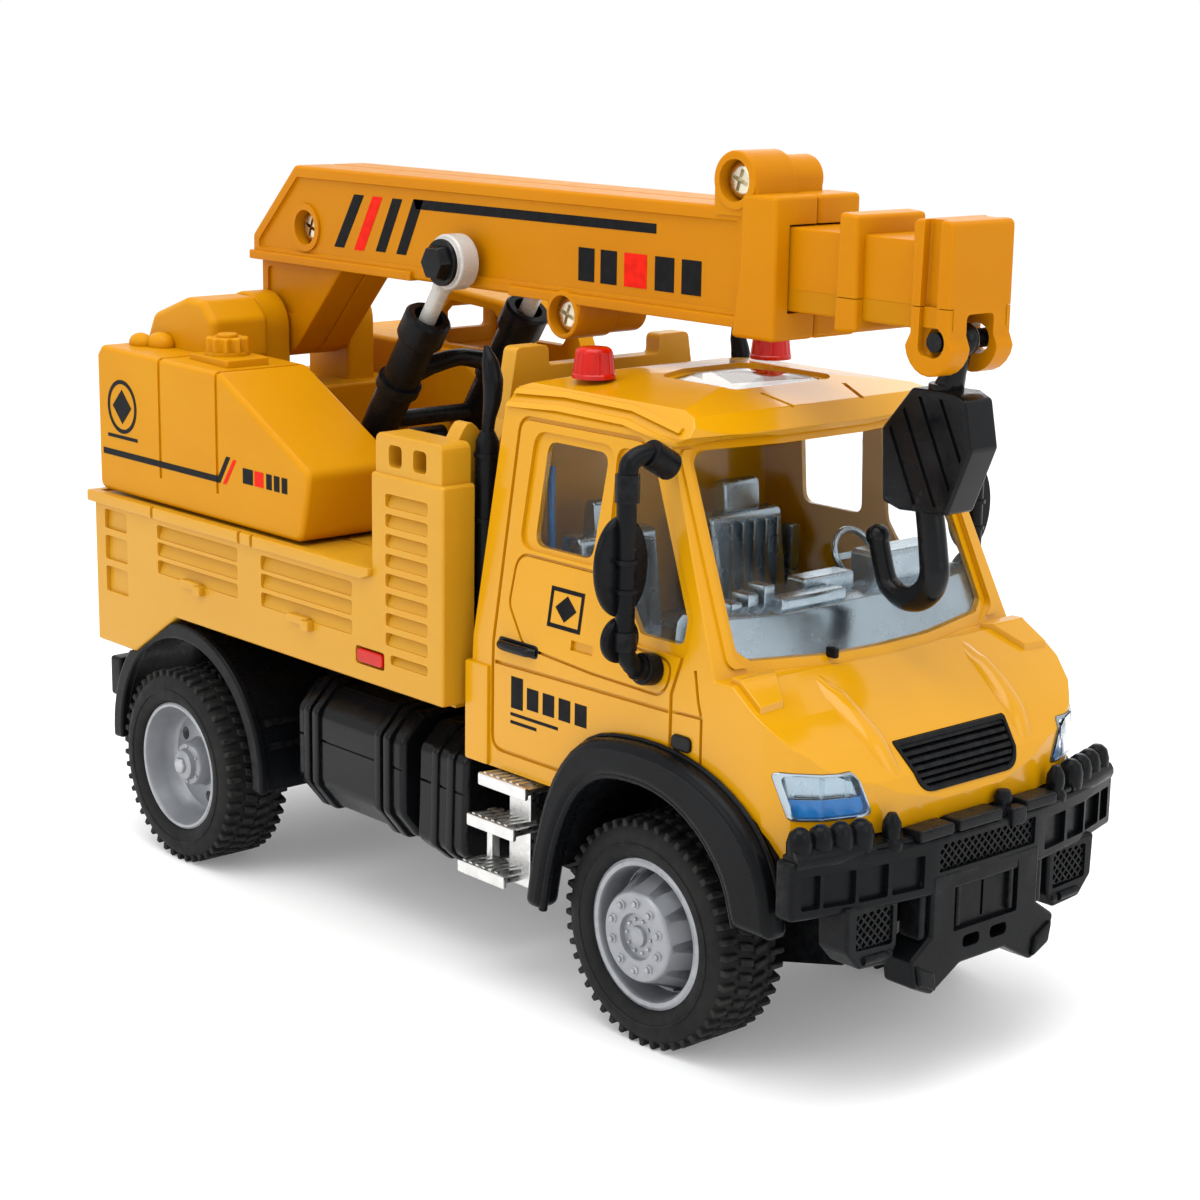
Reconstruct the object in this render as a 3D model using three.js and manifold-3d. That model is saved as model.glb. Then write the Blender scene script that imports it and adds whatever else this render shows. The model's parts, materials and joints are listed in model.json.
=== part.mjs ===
// A toy crane truck: a forward-control cab on a two-axle chassis, with a turning crane on the bed.
// Millimetres, +X forward, +Y to the truck's left, +Z up, the tyres standing on Z = 0.
// Every station along the truck is measured from the front axle, and the whole truck is then
// shifted so that the origin lies under the middle of its bounding box.
import * as THREE from 'three';
import { mergeVertices } from 'three/addons/utils/BufferGeometryUtils.js';
import Module from 'manifold-3d';

const wasm = await Module();
wasm.setup();

// ---------- driving dimensions ----------
const GAP = 0.3; // air left between pieces that touch
const FRONT_AXLE_X = 43; // front axle to the middle of the truck
const WHEELBASE = 92.6;
const TYRE_R = 14;
const TYRE_WIDTH = 10.5;
const RIM_R = 9.2;
const AXLE_R = 1;
const AXLE_BORE_R = 1.3;
const FRONT_TRACK_HALF = 25.4; // outer face of the front tyres
const REAR_TRACK_HALF = 31; // outer face of the rear tyres

const CAB_HALF = 25.8;
const CAB_WALL = 1.4;
const GLASS_WALL = 0.7;
const SCREEN_SWEEP = 9; // degrees that each half of the windscreen is swept back

const BED_HALF = 28.8;
const BED_REAR = -116.2;
const BED_FRONT = -33.4;
const BED_WALL = 1.6;
const DECK_TOP = 50.3;
const BED_BOTTOM = 35.1;
const HEADBOARD_X = -36.2;

const TURRET_HALF = 28;
const TURRET_BOTTOM = 50.8;
const SLEW_X = -90;
const SLEW_SPIGOT_R = 8;

const BOOM_PIVOT = [-104.5, 74.4];
const BOOM_HALF = 6.3;
const BOOM_WALL = 1.4;
const BOOM_BOTTOM = 84.1;
const BOOM_TOP = 98.1;
const LUFF_PIN = [-56.7, 87.7];
const CYLINDER_BASE = [-74.9, 61];
const CYLINDER_Y = 8.7;
const ROD_R = 1.15;
const BARREL_BORE_R = 2.05;
const BARREL_R = 2.6;
const BARREL_LENGTH = 23;
const TRUNNION_R = 1.5;
const ROD_LENGTH = 29.5;

const HOOK_PIVOT = [23.6, 85.2];

const COLOURS = {
  yellow: [0xf5a010, 0.35, 0],
  black: [0x17181a, 0.45, 0],
  tyre: [0x1b1b1b, 0.85, 0],
  rim: [0xa9abae, 0.45, 0.3],
  chrome: [0xd8d8da, 0.15, 1],
  steel: [0xb0a890, 0.3, 1],
  silver: [0x9aa0a6, 0.35, 0.7],
  clear: [0xdfe8ee, 0.08, 0],
  red: [0xd8200a, 0.15, 0],
  grey: [0xb9b9b6, 0.3, 0],
  green: [0x1e6b35, 0.6, 0],
};

// ---------- solids ----------
function toSolid(geometry) {
  const bare = geometry.index ? geometry.toNonIndexed() : geometry.clone();
  for (const name of Object.keys(bare.attributes)) {
    if (name !== 'position') bare.deleteAttribute(name);
  }
  const merged = mergeVertices(bare, 1e-4);
  return new wasm.Manifold(new wasm.Mesh({
    numProp: 3,
    vertProperties: new Float32Array(merged.attributes.position.array),
    triVerts: new Uint32Array(merged.index.array),
  }));
}

function toGeometry(solid) {
  const mesh = solid.getMesh();
  const geometry = new THREE.BufferGeometry();
  geometry.setAttribute('position', new THREE.BufferAttribute(mesh.vertProperties, 3));
  geometry.setIndex(new THREE.BufferAttribute(mesh.triVerts, 1));
  return geometry;
}

const join = (...solids) => solids.reduce((sum, next) => sum.add(next));
const cut = (solid, ...tools) => tools.reduce((rest, tool) => rest.subtract(tool), solid);
const common = (...solids) => solids.reduce((rest, next) => rest.intersect(next));

// A box between two corners.
function block(x0, x1, y0, y1, z0, z1) {
  const geometry = new THREE.BoxGeometry(x1 - x0, y1 - y0, z1 - z0);
  geometry.translate((x0 + x1) / 2, (y0 + y1) / 2, (z0 + z1) / 2);
  return toSolid(geometry);
}

function extrude(points, depth, basis) {
  const shape = new THREE.Shape(points.map(([u, v]) => new THREE.Vector2(u, v)));
  const geometry = new THREE.ExtrudeGeometry(shape, { depth, bevelEnabled: false });
  geometry.applyMatrix4(basis);
  return toSolid(geometry);
}

// A side view outline of (x, z) points, extruded from y0 to y1.
function sidePlate(points, y0, y1) {
  const basis = new THREE.Matrix4().makeBasis(
    new THREE.Vector3(1, 0, 0), new THREE.Vector3(0, 0, 1), new THREE.Vector3(0, -1, 0));
  basis.setPosition(0, y1, 0);
  return extrude(points, y1 - y0, basis);
}

// A front view outline of (y, z) points, extruded from x0 to x1.
function crossPlate(points, x0, x1) {
  const basis = new THREE.Matrix4().makeBasis(
    new THREE.Vector3(0, 1, 0), new THREE.Vector3(0, 0, 1), new THREE.Vector3(1, 0, 0));
  basis.setPosition(x0, 0, 0);
  return extrude(points, x1 - x0, basis);
}

// A plan outline of (x, y) points, extruded from z0 to z1.
function planPlate(points, z0, z1) {
  return extrude(points, z1 - z0, new THREE.Matrix4().makeTranslation(0, 0, z0));
}

// A cylinder or cone along one axis, from low to high, round the two other coordinates in order.
function rod(axis, low, high, centre, radius, endRadius = radius, sides = 24) {
  const geometry = new THREE.CylinderGeometry(endRadius, radius, high - low, sides);
  const middle = (low + high) / 2;
  if (axis === 'x') {
    geometry.rotateZ(-Math.PI / 2);
    geometry.translate(middle, centre[0], centre[1]);
  } else if (axis === 'y') {
    geometry.translate(centre[0], middle, centre[1]);
  } else {
    geometry.rotateX(Math.PI / 2);
    geometry.translate(centre[0], centre[1], middle);
  }
  return toSolid(geometry);
}

// A cylinder from one point to another.
function strut(from, to, radius, sides = 20) {
  const start = new THREE.Vector3(...from);
  const span = new THREE.Vector3(...to).sub(start);
  const geometry = new THREE.CylinderGeometry(radius, radius, span.length(), sides);
  geometry.translate(0, span.length() / 2, 0);
  geometry.applyQuaternion(
    new THREE.Quaternion().setFromUnitVectors(new THREE.Vector3(0, 1, 0), span.normalize()));
  geometry.translate(start.x, start.y, start.z);
  return toSolid(geometry);
}

// A round bar along a smooth curve through a list of points.
function bentBar(points, radius, steps, sides = 10) {
  const section = new THREE.Shape();
  for (let i = 0; i < sides; i += 1) {
    const angle = (2 * Math.PI * i) / sides;
    const corner = [radius * Math.cos(angle), radius * Math.sin(angle)];
    if (i === 0) section.moveTo(...corner);
    else section.lineTo(...corner);
  }
  const path = new THREE.CatmullRomCurve3(points.map((point) => new THREE.Vector3(...point)));
  path.curveType = 'centripetal';
  return toSolid(new THREE.ExtrudeGeometry(section, { steps, extrudePath: path, bevelEnabled: false }));
}

// A ring or disc turned about the Y axis: (distance from the axis, y) points, closed on itself.
function turned(profile, centre, sides = 40) {
  const closed = [...profile, profile[0]];
  const geometry = new THREE.LatheGeometry(closed.map(([r, y]) => new THREE.Vector2(r, y)), sides);
  geometry.translate(centre[0], 0, centre[1]);
  return toSolid(geometry);
}

// Moves every edge of an outline inwards by the same distance.
function inset(outline, distance) {
  const vectors = outline.map(([u, v]) => new THREE.Vector2(u, v));
  const points = THREE.ShapeUtils.isClockWise(vectors) ? [...outline].reverse() : outline;
  return points.map((point, i) => {
    const before = points[(i + points.length - 1) % points.length];
    const after = points[(i + 1) % points.length];
    const a = new THREE.Vector2(point[0] - before[0], point[1] - before[1]).normalize();
    const b = new THREE.Vector2(after[0] - point[0], after[1] - point[1]).normalize();
    const normal = new THREE.Vector2(-a.y - b.y, a.x + b.x).normalize();
    const reach = distance / (normal.x * -b.y + normal.y * b.x);
    return [point[0] + normal.x * reach, point[1] + normal.y * reach];
  });
}

// The same solid moved by a matrix. A mirroring matrix also turns the faces outwards again.
function moved(solid, matrix) {
  const geometry = toGeometry(solid);
  geometry.applyMatrix4(matrix);
  if (matrix.determinant() < 0) geometry.index.array.reverse();
  return toSolid(geometry);
}

const mirrorY = (solid) => moved(solid, new THREE.Matrix4().makeScale(1, -1, 1));

// An outline whose first and last points lie on the centre line, closed by its mirror image.
// The index says which of the two coordinates is y.
function mirrored(half, index) {
  const other = half.slice(1, -1).map((point) => point.map((v, i) => (i === index ? -v : v)));
  return [...half, ...other.reverse()];
}

const truck = new THREE.Group();
truck.position.x = FRONT_AXLE_X;

function piece(name, colour, solid) {
  const [color, roughness, metalness] = COLOURS[colour];
  const material = new THREE.MeshStandardMaterial({ color, roughness, metalness });
  const mesh = new THREE.Mesh(toGeometry(solid), material);
  mesh.name = name;
  truck.add(mesh);
}

// A right-hand piece (y < 0) and its mirror image on the left.
function pair(name, colour, rightSolid) {
  piece(`${name}_right`, colour, rightSolid);
  piece(`${name}_left`, colour, mirrorY(rightSolid));
}

// ---------- wheels and axles ----------
function wheelSet(label, axleX, outerFace) {
  const centre = [axleX, TYRE_R];
  const inner = outerFace - TYRE_WIDTH;
  piece(`${label}_axle`, 'steel', rod('y', -outerFace + 1.5, outerFace - 1.5, centre, AXLE_R));
  const tyre = turned([
    [RIM_R + GAP, -inner], [RIM_R + GAP, -outerFace + 0.4], [10.5, -outerFace],
    [12.6, -outerFace + 0.2], [TYRE_R, -outerFace + 1.4], [TYRE_R, -inner - 1.2],
    [12.8, -inner],
  ], centre, 36);
  const rim = turned([
    [AXLE_BORE_R, -inner - 1], [AXLE_BORE_R, -outerFace + 1], [3.2, -outerFace + 1],
    [4.4, -outerFace + 2.4], [7.4, -outerFace + 3.6], [8.2, -outerFace + 0.6],
    [RIM_R, -outerFace + 0.6], [RIM_R, -inner - 0.6], [7.6, -inner - 0.6],
    [7, -outerFace + 5.2], [3.4, -outerFace + 4.6], [3.4, -inner - 1],
  ], centre, 28);
  pair(`${label}_tyre`, 'tyre', tyre);
  pair(`${label}_rim`, 'rim', rim);
}

// ---------- chassis ----------
const FRAME_HALF = 12;
const FRAME_TOP = 30;
const FRAME_BOTTOM = 10.5;
const MOTOR_BAY = { x0: -104, x1: -81, half: 9.6 };
const CELL_BAY = { x0: -66, x1: -40, half: 9.6 };

function chassisFrame() {
  const rear = -WHEELBASE;
  const profile = [
    [-112, 20], [-104, FRAME_BOTTOM + 1], [-78, FRAME_BOTTOM], [-70, 12], [-38, 12],
    [-16, FRAME_BOTTOM + 1], [10, FRAME_BOTTOM], [20, 13], [25, 19], [25, 26],
    [10, FRAME_TOP], [-30, FRAME_TOP], [-34, 33.4], [-112, 33.4],
  ];
  const body = sidePlate(profile, -FRAME_HALF, FRAME_HALF);
  const well = block(-109, 20, -FRAME_HALF + 1.6, FRAME_HALF - 1.6, 14, 40);
  const ribs = join(
    block(-80, -68, -FRAME_HALF + 1, FRAME_HALF - 1, 13, 30),
    block(-38, -24, -FRAME_HALF + 1, FRAME_HALF - 1, 13, 28),
    block(-6, 6, -FRAME_HALF + 1, FRAME_HALF - 1, 13, 24),
  );
  return cut(
    join(cut(body, well), ribs),
    rod('y', -20, 20, [0, TYRE_R], AXLE_BORE_R),
    rod('y', -20, 20, [rear, TYRE_R], AXLE_BORE_R),
    block(MOTOR_BAY.x0, MOTOR_BAY.x1, -MOTOR_BAY.half, MOTOR_BAY.half, 9, 14.5),
    block(CELL_BAY.x0, CELL_BAY.x1, -CELL_BAY.half, CELL_BAY.half, 9, 14.5),
  );
}

// The friction motor's two-part case round the rear axle, with its gear inside.
function motorCase() {
  const rear = -WHEELBASE;
  const half = MOTOR_BAY.half - 2 * GAP;
  const outside = block(MOTOR_BAY.x0 + GAP, MOTOR_BAY.x1 - GAP, -half, half, 8.5, 27);
  const inside = block(MOTOR_BAY.x0 + 1.8, MOTOR_BAY.x1 - 1.8, -half + 1.4, half - 1.4, 9.8, 30);
  return cut(outside, inside, rod('y', -20, 20, [rear, TYRE_R], AXLE_BORE_R));
}

function axleGear() {
  const teeth = 14;
  const outline = [];
  for (let i = 0; i < teeth * 2; i += 1) {
    const radius = i % 2 ? 3.5 : 2.7;
    const angle = (Math.PI * i) / teeth;
    outline.push([-WHEELBASE + radius * Math.cos(angle), TYRE_R + radius * Math.sin(angle)]);
  }
  return cut(sidePlate(outline, -4, -1), rod('y', -5, 0, [-WHEELBASE, TYRE_R], AXLE_BORE_R));
}

const FRONT_ARCH_OUTER = [
  [23.6, 21], [22.2, 27.4], [18.6, 32.4], [13, 35.8], [6, 37.6], [-2, 37.6], [-8.4, 35.8],
  [-13.2, 30.6], [-16.4, 22], [-18, 13.4],
];
const FRONT_ARCH_INNER = [
  [-14.8, 13.4], [-13.2, 21.6], [-10.2, 28.4], [-6, 32.4], [0, 33.6], [6, 33], [11.4, 30.4],
  [15.6, 26], [17.6, 21],
];

const FENDER_INNER = 13.2; // both fenders run inwards to the frame

function frontFender() {
  const arch = [...FRONT_ARCH_OUTER, ...FRONT_ARCH_INNER];
  const innerArch = [...FRONT_ARCH_OUTER.slice(1, -1), ...FRONT_ARCH_INNER.slice(1, -1)];
  const skin = sidePlate(arch, -28.2, -24.6);
  const guard = sidePlate(innerArch, -25, -FENDER_INNER);
  return join(skin, guard);
}

function arcPoints(centre, radius, from, to, steps) {
  const points = [];
  for (let i = 0; i <= steps; i += 1) {
    const angle = THREE.MathUtils.degToRad(from + ((to - from) * i) / steps);
    points.push([centre[0] + radius * Math.cos(angle), centre[1] + radius * Math.sin(angle)]);
  }
  return points;
}

function rearFender() {
  const centre = [-WHEELBASE - 0.8, 15];
  const outer = arcPoints(centre, 18.8, -4, 184, 16);
  const inner = arcPoints(centre, 17.2, 184, -4, 16);
  const bedSide = [
    [-130, 27.7], [-106.1, 27.7], [-94.9, BED_BOTTOM - GAP], [-70, BED_BOTTOM - GAP],
    [-70, 50], [-130, 50],
  ];
  return cut(sidePlate([...outer, ...inner], -28.4, -FENDER_INNER), sidePlate(bedSide, -30, -12));
}

function frontBumper() {
  const plan = mirrored([
    [31, 0], [30.9, 9], [29.4, 19], [26.9, 27.9], [24.4, 27.9], [24.4, 24], [26, 0],
  ], 1);
  const lamps = [];
  for (const side of [-1, 1]) {
    for (let lobe = 0; lobe < 4; lobe += 1) {
      const y = side * (18.2 + lobe * 2.6);
      const x = 29.2 - Math.max(0, Math.abs(y) - 18) * 0.24;
      lamps.push(rod('z', 29.6, 33.4, [x - 1.2, y], 1.5, 1.3, 12));
    }
    lamps.push(rod('z', 29.6, 34, [28.8, side * 14.4], 1.2, 1, 12));
    lamps.push(block(25.6, 29.6, side * 17.6 - 4.2, side * 17.6 + 4.2, 17, 25));
  }
  const skid = crossPlate([
    [-8.6, 12], [-4, 14.6], [4, 14.6], [8.6, 12], [12, 13.4], [12.6, 16.8], [9.2, 19], [9.2, 26],
    [-9.2, 26], [-9.2, 19], [-12.6, 16.8], [-12, 13.4],
  ], 26.4, 31);
  const slots = [-1, 1].map((side) => block(20, 40, side * 2.4 - 1.5, side * 2.4 + 1.5, 16.4, 18));
  const bracket = block(25.3, 27, -8, 8, 19, 29);
  return cut(join(planPlate(plan, 24, 30.6), ...lamps, skid, bracket), ...slots);
}

function sideTank() {
  const body = crossPlate([
    [-12.4, 30.6], [-22.4, 30.6], [-25.4, 27.6], [-25.4, 17], [-22.6, 13.4], [-12.4, 13.4],
  ].reverse(), -70, -46);
  const straps = [-66, -50].map((x) => crossPlate([
    [-12.4, 31.2], [-22.7, 31.2], [-26, 27.8], [-26, 16.8], [-22.8, 12.8], [-12.4, 12.8],
  ].reverse(), x - 1, x + 1));
  return join(body, ...straps);
}

function frontTank() {
  return crossPlate([
    [-12.4, 30], [-20.6, 30], [-24, 27.4], [-24.4, 14.4], [-22, 12.4], [-12.4, 12.4],
  ].reverse(), -44.6, -34.4);
}

function stepSet() {
  const treads = [[-27.4, 27], [-29.6, 21.2], [-31.4, 14.6]].map(
    ([x, z]) => block(x, x + 9, -27.6, -23.4, z, z + 1.2));
  const riser = block(-25.4, -21.4, -24.4, -22.9, 14.6, 28.2);
  const bracket = block(-25.4, -22.4, -23.6, -12.3, 20, 22);
  return join(...treads, riser, bracket);
}

function exhaustStack() {
  const x = -33.9;
  const y = -21.4;
  return join(
    rod('z', 33.8, 68, [x, y], 1.7, 1.7, 16),
    rod('z', 67.5, 69.4, [x, y], 1.7, 1.2, 16),
    bentBar([[x, y, 69], [x, y, 74.5], [x + 0.5, y, 77.2], [x + 1.6, y, 79]], 1.2, 6),
  );
}

function rearBumper() {
  return join(
    block(-115.4, -112.4, -27.4, 27.4, 19.4, 25.4),
    block(-114, -112.3, -FRAME_HALF, FRAME_HALF, 20, 33),
  );
}

// ---------- cab ----------
const CAB_SIDE = [
  [-32, 28.5], [23, 28.5], [23.6, 31.4], [27.8, 31.4], [28, 34.6], [23.8, 40.6], [14.2, 47.4],
  [2.8, 72.4], [0.6, 75.4], [-6, 77.4], [-14, 78], [-24, 77], [-29.4, 74.6],
];
const CAB_FRONT_HALF = [
  [0, 28.5], [CAB_HALF, 28.5], [CAB_HALF, 45], [22.2, 73.4], [19.4, 76.2], [0, 78.6],
];
const CAB_PLAN_HALF = [
  [-33, 0], [-33, CAB_HALF + 0.2], [16, CAB_HALF + 0.2], [21, 25.2],
  [24.6, 22], [27.4, 15], [28.4, 0],
];

// Everything behind one half of the windscreen, which is swept back towards its corner.
function screenWedge(distance, side) {
  const outline = [[-60, 0], [60, 0], [60, 46.8], [14.6, 46.8], [2.6, 73], [0, 90], [-60, 90]];
  const wedge = sidePlate(inset(outline, distance), -60, 60);
  const hinge = new THREE.Matrix4().makeTranslation(10, side * 6, 0);
  const turn = new THREE.Matrix4().makeRotationZ(side * THREE.MathUtils.degToRad(SCREEN_SWEEP));
  return moved(wedge, hinge.clone().multiply(turn).multiply(hinge.clone().invert()));
}

// The cab's outer body moved inwards by a distance.
function cabSolid(distance) {
  return common(
    screenWedge(distance, -1),
    screenWedge(distance, 1),
    sidePlate(inset(CAB_SIDE, distance), -32, 32),
    crossPlate(inset(mirrored(CAB_FRONT_HALF, 0), distance), -40, 40),
    planPlate(inset(mirrored(CAB_PLAN_HALF, 1), distance), 10, 100),
  );
}

const DOOR_WINDOW = [[-21.9, 57.3], [-11.5, 57.3], [-10.4, 69.9], [-21.3, 69.9]];
const QUARTER_WINDOW = [[-7, 57], [-1.6, 50.4], [5.6, 50.4], [5.6, 53.4], [-2.6, 69.9], [-7.4, 69.9]];

function cabShell() {
  const wheelArch = sidePlate(inset([...FRONT_ARCH_OUTER, [-18, 9], [23.6, 9]], -GAP), -40, 40);
  const shell = cut(cabSolid(0), cabSolid(CAB_WALL), block(-30.4, 22, -22, 22, 20, 31));
  const screen = crossPlate([[-20.6, 49.4], [20.6, 49.4], [19, 71], [-19, 71]], 0.4, 26);
  return cut(
    shell,
    block(-33, 26, -12.4, 12.4, 20, 32),
    wheelArch,
    screen,
    sidePlate(DOOR_WINDOW, -40, 40),
    sidePlate(QUARTER_WINDOW, -40, 40),
    block(-15, -5, -8, 8, 74, 90),
    crossPlate([[-7.6, 34.6], [7.6, 34.6], [9.8, 40.4], [-9.8, 40.4]], 20, 34),
    block(18, 34, -25, -16.4, 34, 38.4),
    block(18, 34, 16.4, 25, 34, 38.4),
  );
}

// The clear moulding inside the cab: windscreen, side windows and roof pane in one piece.
function windowGlass() {
  return cut(
    cabSolid(CAB_WALL + GAP),
    cabSolid(CAB_WALL + GAP + GLASS_WALL),
    block(-60, -25, -40, 40, 0, 100),
    block(-40, 40, -40, 40, 0, 48.8),
  );
}

function cabInterior() {
  const profile = [
    [-28, 33], [16.6, 33], [17, 40], [9.4, 45.4], [4, 48.2], [1, 47.8], [0, 40], [-6, 38.4], [-9, 44],
    [-19, 44], [-21.4, 60], [-24, 60], [-24, 46], [-28, 44],
  ];
  return cut(
    sidePlate(profile, -21, 21),
    block(-20, 25, -22, -12.9, 30, 38),
    block(-20, 25, 12.9, 22, 30, 38),
    block(-26, -3, -3.4, 3.4, 40, 62),
    sidePlate([[-22, 50], [-19, 50], [-19, 62], [-22, 62]], 17, 22),
    sidePlate([[-22, 50], [-19, 50], [-19, 62], [-22, 62]], -22, -17),
  );
}

function grille() {
  return crossPlate([[-7, 34.9], [7, 34.9], [9.3, 40], [-9.3, 40]], 22.8, 27.4);
}

function headlight() {
  return common(
    sidePlate([[19, 34.4], [27.6, 34.4], [25, 38], [19, 38]], -24.6, -16.8),
    planPlate([[18, -25], [22, -25], [24.4, -22.6], [27.4, -17], [27.4, -16], [18, -16]], 30, 44),
  );
}

function beacon(side) {
  const centre = [-21.2, 15.2 * side];
  return join(
    rod('z', 77.1, 78, centre, 2.9, 2.9, 20),
    rod('z', 77.8, 81, centre, 2.7, 2.1, 20),
  );
}

function mirror() {
  const x = 1.4;
  const y = -30;
  const tall = new THREE.CylinderGeometry(3.8, 3.8, 1.1, 24);
  tall.rotateZ(-Math.PI / 2);
  tall.scale(1, 1, 1.38);
  tall.translate(x - 0.9, y, 59.3);
  const small = new THREE.CylinderGeometry(2.6, 2.6, 1.1, 16);
  small.rotateZ(-Math.PI / 2);
  small.translate(x - 0.9, y, 50.6);
  const tube = bentBar([
    [1.2, -23.9, 71.4], [1.6, -28.6, 72], [x, y - 0.2, 69.8], [x, y, 60], [x, y - 0.2, 50.2],
    [x, -28.8, 47.6], [x, -26.2, 47.2],
  ], 1.15, 20, 8);
  return join(tube, toSolid(tall), toSolid(small));
}

// ---------- bed ----------
function bedBody() {
  const side = [
    [BED_FRONT, BED_BOTTOM], [BED_FRONT, 63.1], [-34.2, 63.1], [-34.2, 67.2], [-35, 68.2],
    [-47, 68.2], [-47.8, 67.2], [-47.8, 63.1], [-48.2, 63.1], [-48.2, DECK_TOP],
    [BED_REAR, DECK_TOP], [BED_REAR, 28], [-106, 28], [-94.8, BED_BOTTOM],
  ].reverse();
  const body = sidePlate(side, -BED_HALF, BED_HALF);
  const rail = block(-117, -47.6, -29.6, 29.6, 48.9, 50.6);
  const deckCut = block(-116.2, -48.6, -BED_HALF + 0.6, BED_HALF - 0.6, DECK_TOP, 52);
  const inside = BED_HALF - BED_WALL;
  const underneath = block(BED_REAR + BED_WALL, BED_FRONT - BED_WALL, -inside, inside, 20, 48.7);
  const columnGap = join(
    block(-60, HEADBOARD_X + 10, -23.8, 23.8, DECK_TOP, 90),
    block(HEADBOARD_X, -20, -23.8, 23.8, 20, 90),
  );
  const frontWall = crossPlate([
    [-24.5, 33.8], [24.5, 33.8], [24.5, 68], [22.4, 71], [19.8, 68], [19.8, 63], [16.4, 70],
    [14.8, 79], [9.5, 79], [9.5, 76.4], [-9.5, 76.4], [-9.5, 79], [-14.8, 79],
    [-16.4, 70], [-19.8, 63], [-19.8, 68], [-22.4, 71], [-24.5, 68],
  ], HEADBOARD_X - 2.6, HEADBOARD_X);
  const slewHole = rod('z', 40, 60, [SLEW_X, 0], SLEW_SPIGOT_R + GAP, SLEW_SPIGOT_R + GAP, 32);
  const windows = [-43.6, -38.6].map((x) => block(x - 1.3, x + 1.3, -40, 40, 64.2, 66.8));
  const markers = block(-51.6, -45.4, -BED_HALF - 1, -BED_HALF + 1, 37.4, 39.8);
  return cut(
    join(cut(join(body, rail), deckCut, underneath, columnGap), frontWall),
    slewHole,
    ...windows,
    markers,
    mirrorY(markers),
  );
}

function markerLamp() {
  return block(-51.2, -45.8, -BED_HALF - 0.1, -BED_HALF + 0.7, 37.7, 39.5);
}

// ---------- crane turret ----------
const POD_INNER = 13;
const EAR_INNER = 5.2;
const EAR_OUTER = 10;
const PIVOT_PIN_R = 2.2;
const OPERATOR_WALL = 1.4;

function turretHouse() {
  const z0 = TURRET_BOTTOM;
  const podSide = [
    [-64.5, z0], [-62.6, 60.6], [-84.2, 71.4], [-114, 72], [-115.8, 70.4], [-115.8, z0],
  ];
  const rightPod = sidePlate(podSide, -TURRET_HALF, -POD_INNER);
  const leftPod = mirrorY(rightPod);
  const operatorCab = sidePlate([
    [-67, z0 + 2], [-66.4, 66], [-71, 76], [-74, 79.4], [-88, 80.6], [-92, 78], [-92, 70],
    [-92, z0 + 2],
  ], POD_INNER + 1, TURRET_HALF);
  const cabOpening = sidePlate([
    [-76, 72], [-73.4, 75], [-76, 78], [-86, 78.6], [-89, 76], [-89, 72],
  ], 10, 40);
  const cabRoom = sidePlate([
    [-70.4, 64], [-73, 74.4], [-75.4, 77.8], [-87.8, 79], [-90.4, 77], [-90.4, 64],
  ], POD_INNER + 1 + OPERATOR_WALL, TURRET_HALF - OPERATOR_WALL);
  const frontPane = crossPlate([[17, 66], [25, 66], [25, 76], [17, 76]], -74, -60);
  const rearPane = crossPlate([[17, 73.6], [25, 73.6], [25, 77], [17, 77]], -96, -88);
  const centreDeck = block(-115.6, -64, -POD_INNER - 1, POD_INNER + 1, z0, 58);
  const rearDeck = block(-115.6, -96, -POD_INNER - 1, POD_INNER + 1, z0, 66);
  const cowl = sidePlate([[-96, 71], [-96, 77.6], [-99, 80], [-103, 79.6], [-113, 74.6], [-115, 71]],
    -21, -EAR_OUTER - 0.6);
  const ear = join(
    rod('y', -EAR_OUTER, -EAR_INNER, BOOM_PIVOT, 5.2, 5.2, 28),
    sidePlate([[-99.4, 60], [-99.3, 74.4], [-109.7, 74.4], [-109.6, 60]], -EAR_OUTER, -EAR_INNER),
  );
  const earBridge = block(-109.5, -99.5, -POD_INNER - 0.5, -EAR_INNER, 60, 68);
  const holeR = PIVOT_PIN_R + GAP;
  const pinHole = rod('y', -EAR_OUTER - 5, EAR_OUTER + 5, BOOM_PIVOT, holeR, holeR, 20);
  const trunnionHoleR = TRUNNION_R + 0.4;
  const trunnionHoles = rod('y', -14.4, 14.4, CYLINDER_BASE, trunnionHoleR, trunnionHoleR, 20);
  const knob = join(
    rod('z', 71, 75, [-98, -24], 2.6, 2.2, 12),
    block(-101, -95, -26.6, -21.4, 70, 72.4),
  );
  const underneath = [
    block(-114, -66.4, -TURRET_HALF + 1.6, TURRET_HALF - 1.6, z0 - 1, 54),
    sidePlate([[-82, 53], [-67, 53], [-66, 60], [-85, 69.6], [-94, 69.6], [-94, 53]],
      -TURRET_HALF + 1.6, -POD_INNER - 2.6),
  ];
  const solid = join(
    rightPod, leftPod, operatorCab, centreDeck, rearDeck, cowl, ear, mirrorY(ear), earBridge,
    mirrorY(earBridge), knob,
  );
  const legRoom = block(-110.6, -95.5, -EAR_INNER, EAR_INNER, 67, 90);
  const openings = [cabOpening, cabRoom, frontPane, rearPane, ...underneath];
  return cut(solid, ...openings, pinHole, trunnionHoles, legRoom);
}

function turretBasePlate() {
  return join(
    block(-113.6, -66.8, -26, 26, TURRET_BOTTOM + 0.1, TURRET_BOTTOM + 1.7),
    rod('z', 47.6, TURRET_BOTTOM + 1, [SLEW_X, 0], SLEW_SPIGOT_R, SLEW_SPIGOT_R, 32),
  );
}

function slewRetainer() {
  return join(
    rod('z', 45.4, 47.2, [SLEW_X, 0], 11, 11, 32),
    rod('z', 43.4, 46, [SLEW_X, 0], 2.6, 2.6, 16),
  );
}

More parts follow.
